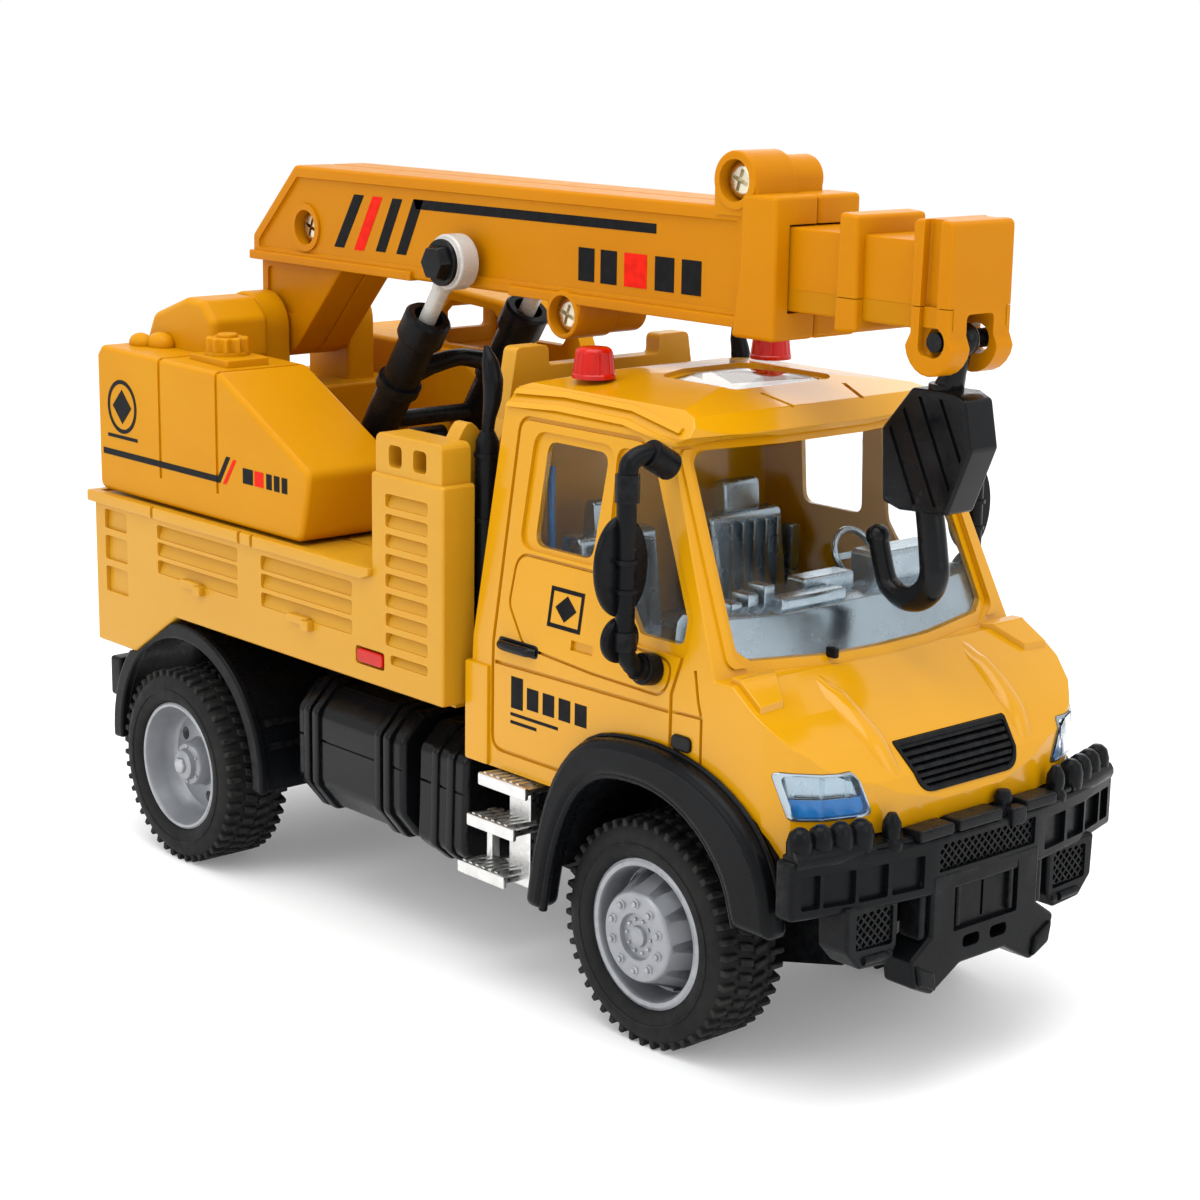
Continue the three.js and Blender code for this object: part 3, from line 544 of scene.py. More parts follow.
def clear_plastic(name, colour, rough, thickness_bump):
    s = Surface(name, colour, rough, 0.6)
    s.put("Transmission Weight", 1.0)
    s.put("IOR", 1.22)
    return s.vary_rough(300, rough * 0.5).bump(60, thickness_bump, 0.1).material


def tinted_plastic(name, colour, rough):
    s = Surface(name, colour, rough, 0.3)
    s.mottle(300, tuple(c * 0.6 for c in colour), 0.5)
    return s.vary_rough(700, 0.04).bump(1500, 0.01, 0.4).material


def print_ink(name, colour):
    s = Surface(name, colour, 0.38, 0.06)
    s.mottle(900, tuple(min(1, c * 1.6 + 0.004) for c in colour), 0.5)
    return s.vary_rough(1500, 0.08).bump(5000, 0.005, 0.4).material


CAB_YELLOW = cab_paint()
BED_YELLOW = yellow_plastic("bed_plastic", (0.55, 0.275, 0.011), (0.52, 0.25, 0.008), 0.3)
CRANE_YELLOW = yellow_plastic("crane_plastic", (0.545, 0.24, 0.001), (0.52, 0.21, 0.001), 0.09)
BOOM_YELLOW = yellow_plastic("boom_plastic", (0.51, 0.195, 0.0005), (0.48, 0.17, 0.0005), 0.08)
BLACK = black_plastic("black_plastic", 0.30, 0.014, 0.10)
SATIN_BLACK = black_plastic("satin_black_plastic", 0.2, 0.006, 0.16)
TYRE = tyre_rubber()
RIM = rim_silver()
CHROME = plated("chromed_plastic", (0.74, 0.74, 0.73), 0.34, 0.01)
STEEL = plated("zinc_steel", (0.72, 0.65, 0.50), 0.28, 0.02)
SILVER = interior_silver()
GLASS = clear_plastic("window_plastic", (0.95, 0.97, 0.98), 0.01, 0.01)
LENS = clear_plastic("lamp_plastic", (0.93, 0.97, 0.99), 0.02, 0.02)
RED = tinted_plastic("red_clear_plastic", (0.52, 0.006, 0.0005), 0.1)
BLUE = tinted_plastic("blue_bulb", (0.03, 0.25, 0.68), 0.2)
GREY = Surface("grey_plastic", (0.50, 0.49, 0.46), 0.26, metal=0.1).mottle(
    200, (0.42, 0.41, 0.39), 0.6).vary_rough(900, 0.06).bump(3000, 0.01, 0.4).material
INK_BLACK = print_ink("black_ink", (0.005, 0.005, 0.006))
INK_RED = print_ink("red_ink", (0.60, 0.010, 0.002))
BOARD = Surface("solder_mask", (0.02, 0.12, 0.03), 0.45).mottle(
    300, (0.03, 0.17, 0.05), 0.8).vary_rough(900, 0.1).bump(3000, 0.02, 0.5).material

# ---------------------------------------------------------------- wheels

LUGS = 46
LIP_R = 9.3
TREAD_R = TYRE_R - 0.48


def ring_of(bm, count, centre, offset=0.0):
    """Copies of a solid, turned about a line along Y through the centre."""
    copies = [placed(bm.copy(), about("y", (k + offset) * 360 / count, (centre[0], 0, centre[1])))
              for k in range(count)]
    bm.free()
    return joined(*copies)


def lug(centre, y0, y1, half, foot, lean=0.0):
    """One tread block, standing on top of the tyre."""
    x, z = centre
    bm = prism([(x - half, z + foot), (x + half, z + foot), (x + half * 0.72, z + TYRE_R),
                (x - half * 0.72, z + TYRE_R)], "y", y0, y1)
    for v in bm.verts:
        if v.co.y > (y0 + y1) / 2:
            v.co.x += lean
    return soften(bm, 0.14, 1)


def tyre(x, face):
    inner = face - TYRE_WIDTH
    centre = (x, TYRE_R)
    outside = [(LIP_R - 0.3, 1.3), (LIP_R + 0.15, 0.5), (LIP_R + 0.5, 0.2), (10.6, 0.02), (12.0, 0.1),
               (12.85, 0.36), (13.35, 0.9), (TREAD_R, 1.6)]
    inside = [(TREAD_R, -1.6), (13.0, -0.9), (12.2, -0.15), (10.4, 0), (LIP_R - 0.3, -0.5)]
    carcass = lathe(raised(outside, -face) + raised(inside, -inner), "y", centre, 96)
    rows = [ring_of(lug(centre, *block_size), LUGS, centre, offset) for offset, *block_size in (
        (0.0, -face + 0.42, -face + 2.5, 0.48, 12.9),
        (0.5, -face + 3.1, -face + 5.1, 0.6, 13.1, 0.5),
        (0.1, -inner - 5.1, -inner - 3.1, 0.6, 13.1, -0.5),
        (0.5, -inner - 2.5, -inner - 0.42, 0.5, 12.6))]
    line = raised([(10.9, -0.04), (11.02, -0.12), (11.14, -0.04), (11.14, 0.5), (10.9, 0.5)], -face)
    return joined(carcass, lathe(line, "y", centre, 96), *rows)


def front_rim():
    """Domed truck wheel: ten windows, ten nuts and a bolted hub cap."""
    centre = (0, TYRE_R)
    nuts = 10
    face = -FRONT_FACE
    hub = face - 0.8
    rim = [(LIP_R, 1.1), (LIP_R - 0.12, 0.78), (8.8, 0.6), (8.3, 0.72), (8.0, 1.15), (7.85, 4.4),
           (7.5, 4.6), (6.7, 2.6), (5.9, 0.7), (5.6, -0.3)]
    cap = [(5.35, 0.1), (5.15, 0), (3.05, 0), (2.85, 0.12), (2.75, 0.7), (1.35, 0.62), (1.2, 0.2),
           (0.8, 0.02), (0, 0)]
    back = [(0, 3), (4.6, 3), (7.0, 6.2), (LIP_R, 6.2)]
    dish = lathe(raised(rim, face) + raised(cap, hub) + raised(back, face), "y", centre, 80)
    x, z = centre
    window = [(x - 0.5, z + 5.75), (x + 0.5, z + 5.75), (x + 1.5, z + 7.75), (x - 1.5, z + 7.75)]
    window = prism(rounded(window, 0.4, 3), "y", face - 3, face + 9)
    dish = cut(dish, ring_of(window, nuts, centre, 0.5))
    nut = [(0.62, 0.1), (0.6, -0.12), (0.42, -0.2), (0.38, -0.5), (0.22, -0.62), (0, -0.64), (0, 0.1)]
    nut = lathe(raised(nut, hub), "y", (x, z + 4.15), 12)
    stud = [(0.24, 0.75), (0.22, 0.42), (0.1, 0.32), (0, 0.3), (0, 0.75)]
    stud = lathe(raised(stud, hub), "y", (x, z + 2.05), 8)
    return [(joined(dish, ring_of(nut, nuts, centre), ring_of(stud, nuts, centre, 0.5)), RIM)]


def rear_rim():
    """Deep dished wheel with five round holes and a stepped centre boss."""
    centre = (-WHEELBASE, TYRE_R)
    face = -REAR_FACE
    dish = [(LIP_R, 1.1), (LIP_R - 0.1, 0.75), (8.95, 0.58), (8.6, 0.66), (8.45, 1.1), (8.0, 3.2),
            (7.5, 4.6), (6.9, 5.1), (3.6, 4.7), (3.3, 4.2), (3.15, 2.7), (2.9, 2.35), (2.3, 2.2),
            (2.15, 1.5), (1.9, 1.3), (0, 1.2), (0, 5.6), (3.6, 6.1), (7.2, 6.5), (LIP_R, 6.5)]
    dish = lathe(raised(dish, face), "y", centre, 80)
    x, z = centre
    hole = disc("y", face + 2, face + 9, (x, z + 5.4), 1.0, 16)
    dish = cut(dish, ring_of(hole, 5, centre, 0.25))
    nut = soft_prism(circle(centre, 1.25, 6), "y", face + 0.75, face + 1.6, 0.15, 1)
    rivet = lathe(raised([(0.3, 2.5), (0.26, 2.1), (0, 2.0), (0, 2.5)], face), "y", (x, z + 2.6), 8)
    return [(joined(dish, nut, ring_of(rivet, 6, centre)), RIM)]


for label, at_x, face_at, rim in (("front", 0, FRONT_FACE, front_rim),
                                  ("rear", -WHEELBASE, REAR_FACE, rear_rim)):
    pair(f"{label}_tyre", lambda: [(tyre(at_x, face_at), TYRE)], f"{label}_wheels")
    pair(f"{label}_rim", rim, f"{label}_wheels")

# ---------------------------------------------------------------- boom

BOOM_HALF = 6.3
BOOM_LOW = 84.1
BOOM_HIGH = 98.1
PANEL_DEPTH = 0.5
PANEL_Y = -BOOM_HALF + PANEL_DEPTH
INNER_HALF = 4.6
INNER_LOW = 86.4
INNER_HIGH = 96.2
INK = 0.05
BEAM = [(-4.4, BOOM_LOW), (-4.4, BOOM_HIGH), (-96.5, BOOM_HIGH), (-107.2, 87.6), (-107.2, BOOM_LOW)]
LEG = [(-86, 85), (-107.2, 85), (-107.2, 76), (-106.6, 72), (-104.5, 70.2), (-101.4, 70), (-98.6, 71.4)]
SCREW_AT = [(-94.2, 89.4), (-6.3, 101.2), (-36.8, 82.5)]
BOOM_PIVOT = pivot("boom_luff")
HOOK_AT = pivot("hook_swing")
LUFF_PIN = (-56.7, 87.7)
HEAD_SCREW_R = 2.2


def film(points, y):
    """Printed ink: a thin layer that straddles a face at the given y."""
    return prism(points, "y", y - INK, y + INK)


def slanted(top, bottom, width):
    """A leaning bar between a top and a bottom (x, z) point."""
    half = width / 2
    return [(bottom[0] - half, bottom[1]), (bottom[0] + half, bottom[1]), (top[0] + half, top[1]),
            (top[0] - half, top[1])]


def word_bars(x0, x1, z0, z1, count, y, gap):
    """A row of plain bars that fills the place of a printed word."""
    step = (x1 - x0) / count
    return joined(*[film(rect(x0 + i * step, z0, x0 + (i + 1 - gap) * step, z1), y)
                    for i in range(count)])


def beam_half(side):
    """One moulded half of the boom, at negative Y. side is -1 for the right half and 1 for the left."""
    beam = soft_prism(BEAM, "y", -BOOM_HALF, 0, 0.5, 3)
    panel = soft_prism(rounded(inset(BEAM, 1.6), 0.5), "y", -BOOM_HALF - 1, PANEL_Y, 0.18, 1)
    ledges = [soft_block(x0, x1, -BOOM_HALF - 0.55, -5, BOOM_LOW - 0.1, BOOM_LOW + 1.2, 0.2)
              for x0, x1 in ((-107.4, -68.6), (-47.8, -4))]
    leg = soft_prism(LEG, "y", -4.8, 0, 0.4)
    leg_panel = [(-90.6, 83), (-105.6, 83), (-105.6, 78.6), (-101.2, 76.4), (-99.2, 76.4)]
    leg_panel = prism(rounded(leg_panel, 0.8), "y", -6, -4.35)
    collar = [(-6.2, 82.9), (0.9, 82.9), (0.9, 99.8), (-4.9, 99.8), (-5.0, 91)]
    collar = soft_prism(collar, "y", -7.2, 0, 0.6, 3)
    parts = [cut(beam, panel), *ledges, cut(leg, leg_panel), collar]
    for (x, z), radius in zip(SCREW_AT[1:], (3.5, 3.1) if side < 0 else (2.8, 2.8)):
        reach = 7 if side < 0 else 5.4
        root = BOOM_HIGH - 1 if z > BOOM_HIGH else BOOM_LOW + 1
        parts.append(soften(disc("y", -reach, 0, (x, z), radius, 40), 0.35))
        parts.append(block(x - radius, x + radius, -reach + 0.35, 0, min(z, root), max(z, root)))
    x, z = SCREW_AT[0]
    parts.append(disc("y", -BOOM_HALF + 0.1, -3, (x, z), 3.4, 32))
    half = united(*parts)
    tools = [
        block(-95, 10, -INNER_HALF - 0.25, 1, INNER_LOW - 0.25, INNER_HIGH + 0.25),
        disc("y", -20, 5, BOOM_PIVOT, 2.3, 32),
        disc("y", -20, -3, LUFF_PIN, 1.8, 24),
        block(-200, 50, -0.06, 1, 60, 110),
    ]
    if side < 0:
        tools += [disc("y", -9, -4.4 if z > BOOM_HIGH or z < BOOM_LOW else -3.6, (x, z), 2.5, 32)
                  for x, z in SCREW_AT]
    return cut(half, *tools)


def boom_print():
    """Leaning bars and a long stripe, with plain bars where a word was printed."""
    y = PANEL_Y
    black = [slanted((-81.5, 94.8), (-86.3, 87.2), 2.3), slanted((-72.7, 94.8), (-76.6, 87.3), 2.2),
             slanted((-68.0, 95.0), (-71.9, 87.3), 2.2),
             [(-68.6, 93.7), (-20.7, 93.9), (-20.7, 95.1), (-69.0, 95.0)]]
    films = [film(outline, y) for outline in black]
    films.append(word_bars(-35, -26.6, 87, 91.2, 2, y, 0.28))
    films.append(word_bars(-20.8, -11.3, 87, 91.2, 2, y, 0.28))
    red = [film(slanted((-77.2, 94.8), (-81.6, 87.1), 2.3), y),
           word_bars(-26.4, -21.6, 87, 91.2, 1, y, 0.14)]
    return [(joined(*films), INK_BLACK), (joined(*red), INK_RED)]


def phillips_head(x, z, y):
    """A zinc pan head with a cross recess, facing right."""
    head = [(HEAD_SCREW_R, 1.1), (HEAD_SCREW_R, 0.5), (2.0, 0.2), (1.4, 0), (0, -0.05), (0, 1.1)]
    head = lathe(raised(head, y), "y", (x, z), 32)
    slots = [placed(block(x - 0.26, x + 0.26, y - 1, y + 0.7, z - 1.35, z + 1.35),
                    about("y", turn, (x, 0, z))) for turn in (20, 110)]
    core = disc("y", y - 1, y + 0.75, (x, z), 0.6, 12, 0.3)
    shank = straight_bar((x, y + 1, z), (x, 3.6, z), 1.0, 12)
    return joined(cut(head, *slots, core), shank)


def boom():
    piece("boom_half_right", [(beam_half(-1), BOOM_YELLOW), *boom_print()], "boom")
    left = [(flipped(bm), material) for bm, material in [(beam_half(1), BOOM_YELLOW), *boom_print()]]
    piece("boom_half_left", left, "boom")
    for number, (x, z), y in zip((1, 2, 3), SCREW_AT, (-5.0, -6.0, -6.0)):
        piece(f"boom_screw_{number}", [(phillips_head(x, z, y), STEEL)], "boom")


def pin_cap():
    """Hexagonal cap on the end of the cylinder pin."""
    x, z = LUFF_PIN
    skirt = soften(disc("y", -11.1, -10.3, LUFF_PIN, 3.1, 32), 0.2)
    hexagon = prism(circle(LUFF_PIN, 2.75, 6), "y", -12.6, -10.6)
    for v in hexagon.verts:
        if v.co.y < -12:
            v.co.x, v.co.z = x + (v.co.x - x) * 0.8, z + (v.co.z - z) * 0.8
    return [(joined(skirt, soften(hexagon, 0.2), disc("y", -10.6, -5.2, LUFF_PIN, 1.4, 20)), SATIN_BLACK)]


def inner_boom():
    """Sliding inner boom with its stop collar and the forked head that carries the hook."""
    groove_z = INNER_LOW + 2.6
    bar = soft_block(-62, 21, -INNER_HALF, INNER_HALF, INNER_LOW, INNER_HIGH, 0.35)
    collar = [(9.1, 84.9), (12.6, 85.2), (12.4, 98.4), (9.5, 98.6)]
    collar = soft_prism(collar, "y", -5.9, 5.9, 0.55, 3)
    pin_x, pin_z = 23, HOOK_AT[1]
    fork = rounded([(20.2, 86), (20.2, 98.6), (25.9, 98.6), (25.9, 86)], [0, 0.9, 0.9, 0], 4)
    ears = arc((pin_x, pin_z), 3.6, -10, -170, 10, 3.9 / 3.6)
    head = soft_prism([fork[-1], *ears, *fork[:-1]][::-1], "y", -5.3, 5.3, 0.7, 3)
    channel = rounded([(21.5, pin_z - 1.6), (24.0, pin_z - 1.6), (24.3, 99.6), (21.9, 99.6)],
                      [1.1, 1.1, 0, 0], 4)
    channels = both(soft_prism(channel, "y", -8, -4.1, 0.2, 1))
    slot = rounded(rect(-2.3, 70, 2.3, 88.3), [0, 0, 0.7, 0.7])
    eye = prism(circle((HOOK_AT[0], pin_z), 1.75, 28), "y", -10, 10)
    head = cut(head, channels, prism(slot, "x", 15, 32), eye)
    line = both(block(-20, 30, -6.2, -INNER_HALF + 0.02, groove_z - 0.05, groove_z + 0.05))
    hollow = block(-70, -10, -3.2, 3.2, 88, 94.6)
    step = both(block(-63, 26, -INNER_HALF - 0.04, -INNER_HALF + 0.2, INNER_LOW + 0.3, groove_z))
    whole = cut(united(bar, collar, head), hollow, line)
    return [(joined(whole, step), BOOM_YELLOW)]


def hook_parts():
    """Pivot ball, neck, sheave block with slanting ribs, and the hook itself."""
    outline = [(17.1, 65.1), (24.3, 65.5), (27.5, 73.3), (26.4, 78.7), (24.6, 79.5), (18.3, 79.4),
               (14, 74.3), (14.5, 65.8)]
    plate = soft_prism(outline, "y", -2.35, 2.35, 0.4, 3)
    grooves = [prism([(x, 80.5), (x + 0.55, 80.5), (x + 9.6, 62), (x + 9.05, 62)], "y", -4, -2.05)
               for x in (12.2 + 3.1 * k for k in range(5))]
    plate = cut(plate, both(common(joined(*grooves), prism(inset(outline, 0.9), "y", -6, 0))))
    x, z = HOOK_AT
    eye = ball((x, 0, z), 1.95, (1, 0.9, 1), 24)
    neck = tube([(x, 0, z), (22.6, 0, 81.6), (21.6, 0, 79)], [1.2, 1.35, 1.9], 20)
    shoulder = soften(disc("z", 78.8, 80.1, (21.4, 0), 2.0, 24, 1.7), 0.2)
    bow = [(x_at, 0, z_at) for x_at, z_at in arc((17, 58.4), 4, 20, -148, 6)]
    tip = (12.1, 0, 61)
    bend = tube([(19.6, 0, 66), (20.2, 0, 63.2), *bow, tip],
                [1.6, 1.65, 1.7, 1.75, 1.75, 1.7, 1.6, 1.45, 1.35, 1.3], 24, 8, flat=0.92)
    knob = ball(tip, 1.4, (1.1, 1.0, 1.0), 20)
    pin = straight_bar((x, -5, z), (x, 5, z), 1.1, 20)
    return [(joined(plate, eye, neck, shoulder, bend, knob, pin), SATIN_BLACK)]


# ---------------------------------------------------------------- luffing cylinders

CYLINDER_BASE = pivot("cylinder_tilt")
CYLINDER_Y = 8.7
BARREL_LENGTH = 23.0
BARREL_R = 2.6
CYLINDER_SPAN = Vector((LUFF_PIN[0] - CYLINDER_BASE[0], LUFF_PIN[1] - CYLINDER_BASE[1]))
CYLINDER_LINE = CYLINDER_SPAN.normalized()


def along(distance, y):
    """The point at a distance from the cylinder's foot, on its line to the pin on the boom."""
    return (CYLINDER_BASE[0] + CYLINDER_LINE.x * distance, y,
            CYLINDER_BASE[1] + CYLINDER_LINE.y * distance)


def stepped(profile, y, sides=32):
    """A bar round the cylinder's line, from (distance, radius) points."""
    distances, radii = zip(*profile)
    return tube([along(d, y) for d in distances], radii, sides, straight=True)


def barrels():
    """Both black cylinder barrels with their collars and the two bars that join them."""
    top = BARREL_LENGTH
    profile = [(0, 2.2), (0.5, BARREL_R - 0.1), (10.2, BARREL_R), (10.25, BARREL_R + 0.5),
               (11.7, BARREL_R + 0.5), (11.75, BARREL_R), (18.9, BARREL_R), (18.95, BARREL_R + 0.45),
               (19.3, BARREL_R + 0.65), (top - 0.4, BARREL_R + 0.65), (top, BARREL_R + 0.3)]
    solids = []
    for side in (-1, 1):
        bore = stepped([(top - 4, 2.05), (top + 1, 2.05)], side * CYLINDER_Y)
        solids.append(cut(stepped(profile, side * CYLINDER_Y), bore))
        knuckle = disc("y", side * CYLINDER_Y - 2.2, side * CYLINDER_Y + 2.2, CYLINDER_BASE, 2.7, 28)
        solids.append(soften(knuckle, 0.3))
    sag = 0.9
    arch = [along(14 - sag * 1.6, -CYLINDER_Y), along(14, -CYLINDER_Y * 0.5), along(14 + sag, 0),
            along(14, CYLINDER_Y * 0.5), along(14 - sag * 1.6, CYLINDER_Y)]
    solids.append(tube(arch, [1.9, 1.35, 1.2, 1.35, 1.9], 18, 8))
    solids.append(straight_bar((CYLINDER_BASE[0], -14, CYLINDER_BASE[1]),
                      (CYLINDER_BASE[0], 14, CYLINDER_BASE[1]), 1.5, 18))
    solids.append(straight_bar(along(4.2, -CYLINDER_Y), along(4.2, CYLINDER_Y), 1.2, 16))
    return [(joined(*solids), BLACK)]


def rod():
    """A grey piston rod that ends in a round eye on the boom pin."""
    length = CYLINDER_SPAN.length
    y = -CYLINDER_Y
    shaft = stepped([(length - 29.5, 1.15), (length - 5, 1.2), (length - 2.6, 1.7)], y, 24)
    eye = soften(disc("y", y - 1.5, y + 1.5, LUFF_PIN, 3.7, 40), 0.35, 3)
    lip = raised([(3.2, -1.75), (3.0, -1.85), (2.4, -1.85), (2.3, -1.4), (3.2, -1.4)], y)
    lip = lathe(lip, "y", LUFF_PIN, 40)
    bore = disc("y", y - 4, y + 4, LUFF_PIN, 1.7, 24)
    return [(cut(united(shaft, eye, lip), bore), GREY)]


boom()
pair("luff_pin_cap", pin_cap, "boom")
piece("inner_boom", inner_boom(), "boom_extension")
piece("hook", hook_parts(), "hook", "hook_block")
piece("cylinder_barrels", barrels(), "barrels")
pair("cylinder_rod", rod, "rods")

# ---------------------------------------------------------------- cab

# Axis, start and end of the tools that reach right through a wall.
ACROSS = ("y", -40, 40)
RIGHT_SIDE = ("y", -40, -10)
RIGHT_SKIN = ("y", -40, -15)
NOSE = ("x", 20, 34)
ROOF = ("z", 70, 90)
SCREEN = ("x", 0.2, 30)

CAB_WALL = 1.4
SCREEN_SWEEP = 9
SCREEN_HINGE = (10, 6)
CAB_SIDE = [(-32, 28.5), (23, 28.5), (23.8, 31.2), (27.8, 31.4), (28.2, 34.0), (26.9, 37.2), (23.8, 40.8),
            (19.6, 44.0), (14.2, 47.4), (2.9, 72.2), (3.9, 73.3), (1.6, 75.4), (-5, 77.2), (-14, 78),
            (-24, 77.2), (-29.4, 75.4)]
CAB_FRONT = [(25.8, 28.5), (25.8, 44.6), (22.2, 73.2), (19.6, 76), (0, 78.4), (-19.6, 76), (-22.2, 73.2),
             (-25.8, 44.6), (-25.8, 28.5)]
CORNER_PLAN = [(15, -26), (19.4, -25.5), (22.4, -24.1), (24.7, -21.6), (26.3, -17.8), (27.5, -12),
               (28.2, -5)]
CAB_PLAN = [(-33, -26), *CORNER_PLAN, *[(x, -y) for x, y in CORNER_PLAN[::-1]], (-33, 26)]
SCREEN_BEHIND = [(-60, 0), (60, 0), (60, 47.4), (14.4, 47.4), (3.1, 72.2), (5.4, 73.4), (0, 90),
                 (-60, 90)]
SCREEN_OPENING = [(21.2, 50.0), (19.8, 70.2), (18.8, 71.4), (-18.8, 71.4), (-19.8, 70.2), (-21.2, 50.0),
                  (-19.6, 48.8), (-10, 48.3), (0, 48.1), (10, 48.3), (19.6, 48.8)]
DOOR = [(-27.2, 31), (-27.2, 41.5), (-26.3, 72.2), (-4.6, 72.3), (0.2, 67.8), (6.1, 49.6), (4.8, 44.6),
        (4.7, 31)]
DOOR_WINDOW = [(-21.9, 57.2), (-11.4, 57.2), (-10.4, 69.9), (-21.3, 69.9)]
QUARTER_WINDOW = [(-7, 57), (-1.8, 50.2), (5.4, 50.2), (5.6, 53.2), (-2.6, 69.9), (-7.4, 69.9)]
WINDOW_FRAME = [(-24.2, 56.6), (-9.8, 56.6), (-8.8, 71), (-23.4, 71)]
QUARTER_FRAME = [(-8.3, 56.6), (-2.6, 49.0), (6.6, 48.8), (7.0, 53.6), (-1.6, 71), (-8.6, 71)]
DOOR_PANEL = [(-24.2, 56), (-24.9, 49.6), (-21.4, 45.0), (-9, 44.2), (3.6, 44.0), (4.6, 48.2),
              (-3.2, 48.8), (-8.8, 56)]
FRONT_ARCH = [(24.2, 21), (22.6, 27.6), (18.9, 32.7), (13.1, 36.1), (6.1, 37.9), (-2.1, 37.9),
              (-8.6, 36.1), (-13.5, 30.8), (-16.7, 22), (-18, 9), (24, 9)]
GRILLE_CORNERS = [(8.3, 34.9), (9.8, 40.5), (-9.8, 40.5), (-8.3, 34.9)]
LAMP = [(-15.4, 33.7), (-17.8, 38.9), (-25.2, 39.1), (-24.2, 33.5)]
LAMP_REAR = 20.2
HATCH = rounded(rect(-15.2, -8, -5.2, 8), 0.8)


def screen_wedge(distance, side):
    """Everything behind one half of the windscreen, which sweeps back towards its corner."""
    wedge = prism(inset(SCREEN_BEHIND, distance), "y", -60, 60)
    return placed(wedge, about("z", side * SCREEN_SWEEP, (SCREEN_HINGE[0], side * SCREEN_HINGE[1], 0)))


def cab_solid(distance):
    """The cab's outer body, moved inwards by a distance."""
    return common(
        prism(inset(CAB_SIDE, distance), "y", -32, 32),
        screen_wedge(distance, -1),
        screen_wedge(distance, 1),
        prism(inset(CAB_FRONT, distance), "x", -40, 40),
        prism(inset(CAB_PLAN, distance), "z", 10, 100),
    )


def cab_skin(outer, inner):
    """The layer of the cab between two depths under its surface."""
    return cut(cab_solid(outer), cab_solid(inner))


def tidy_flat(bm):
    """Joins faces that lie in one plane, so that edges can be rounded cleanly."""
    bmesh.ops.remove_doubles(bm, verts=bm.verts, dist=0.02)
    bmesh.ops.dissolve_limit(bm, angle_limit=math.radians(1.5), verts=bm.verts, edges=bm.edges)
    return bm


def ring_tool(outline, width):
    """A band that follows an outline on the cab's side, for a groove."""
    return cut(prism(inset(outline, -width / 2), *RIGHT_SKIN),
               prism(inset(outline, width / 2), "y", -41, -14))


def side_strip(points, width):
    """A band along a line of (x, z) points on the cab's side, for a seam."""
    parts = []
    for (x0, z0), (x1, z1) in zip(points, points[1:]):
        length = math.hypot(x1 - x0, z1 - z0)
        nx, nz = -(z1 - z0) / length * width / 2, (x1 - x0) / length * width / 2
        corners = [(x0 - nx, z0 - nz), (x1 - nx, z1 - nz), (x1 + nx, z1 + nz), (x0 + nx, z0 + nz)]
        parts.append(prism(corners, *RIGHT_SKIN))
    return joined(*parts)


def grille_outline(distance):
    return rounded(inset(GRILLE_CORNERS, distance), [2.6, 0.3, 0.3, 2.6], 6)


def lamp_column(distance):
    """The headlight's opening, pushed through the cab's front corner."""
    return prism(rounded(inset(LAMP, distance), 0.7, 4), "x", LAMP_REAR + distance, 34)


def cab_body():
    body = soften(tidy_flat(cab_solid(0)), 1.1, 4, 12)
    seams = joined(
        ring_tool(rounded(DOOR, 1.8, 4), 0.55),
        ring_tool(rounded(DOOR_PANEL, 2.4, 6), 0.4),
        side_strip([(-26.8, 42.1), (4.4, 42.5)], 0.5),
        side_strip([(9.8, 36.6), (9.8, 42.8), (8.2, 48)], 0.45),
        side_strip([(4.8, 42.6), (9.8, 42.8)], 0.4),
        block(-13, -9.1, -40, -20, 46.2, 47.4),
    )
    seams = both(cut(seams, cab_solid(0.45)))
    frames = both(cut(joined(prism(rounded(WINDOW_FRAME, 2.2, 5), *RIGHT_SKIN),
                             prism(rounded(QUARTER_FRAME, 1.6, 5), *RIGHT_SKIN)), cab_solid(0.5)))
    screen_frame = cut(prism(rounded(inset(SCREEN_OPENING, -1.0), 1.2, 3), *SCREEN), cab_solid(0.4))
    openings = [
        prism(rounded(SCREEN_OPENING, 0.8, 3), *SCREEN),
        prism(rounded(DOOR_WINDOW, 1.6, 5), *ACROSS),
        prism(rounded(QUARTER_WINDOW, 1.1, 5), *ACROSS),
        prism(HATCH, *ROOF),
        prism(grille_outline(0), *NOSE),
        block(-33, 26, -12.4, 12.4, 20, 32),
        block(-30.4, 22, -22, 22, 20, 31),
        prism(FRONT_ARCH, *ACROSS),
        both(lamp_column(0)),
    ]
    hatch_step = cut(prism(inset(HATCH, -1.2), *ROOF), cab_solid(0.5))
    slits = cut(joined(*[placed(block(-2.6, 1.8, y - 0.35, y + 0.35, 70, 90), about("z", turn, (0, y, 0)))
                         for y, turn in ((-4.6, 16), (8.2, -16))]), cab_solid(0.6))
    for tool in (cab_solid(CAB_WALL), seams, frames, joined(screen_frame, hatch_step, slits), *openings):
        body = cut(body, tool)
    return body


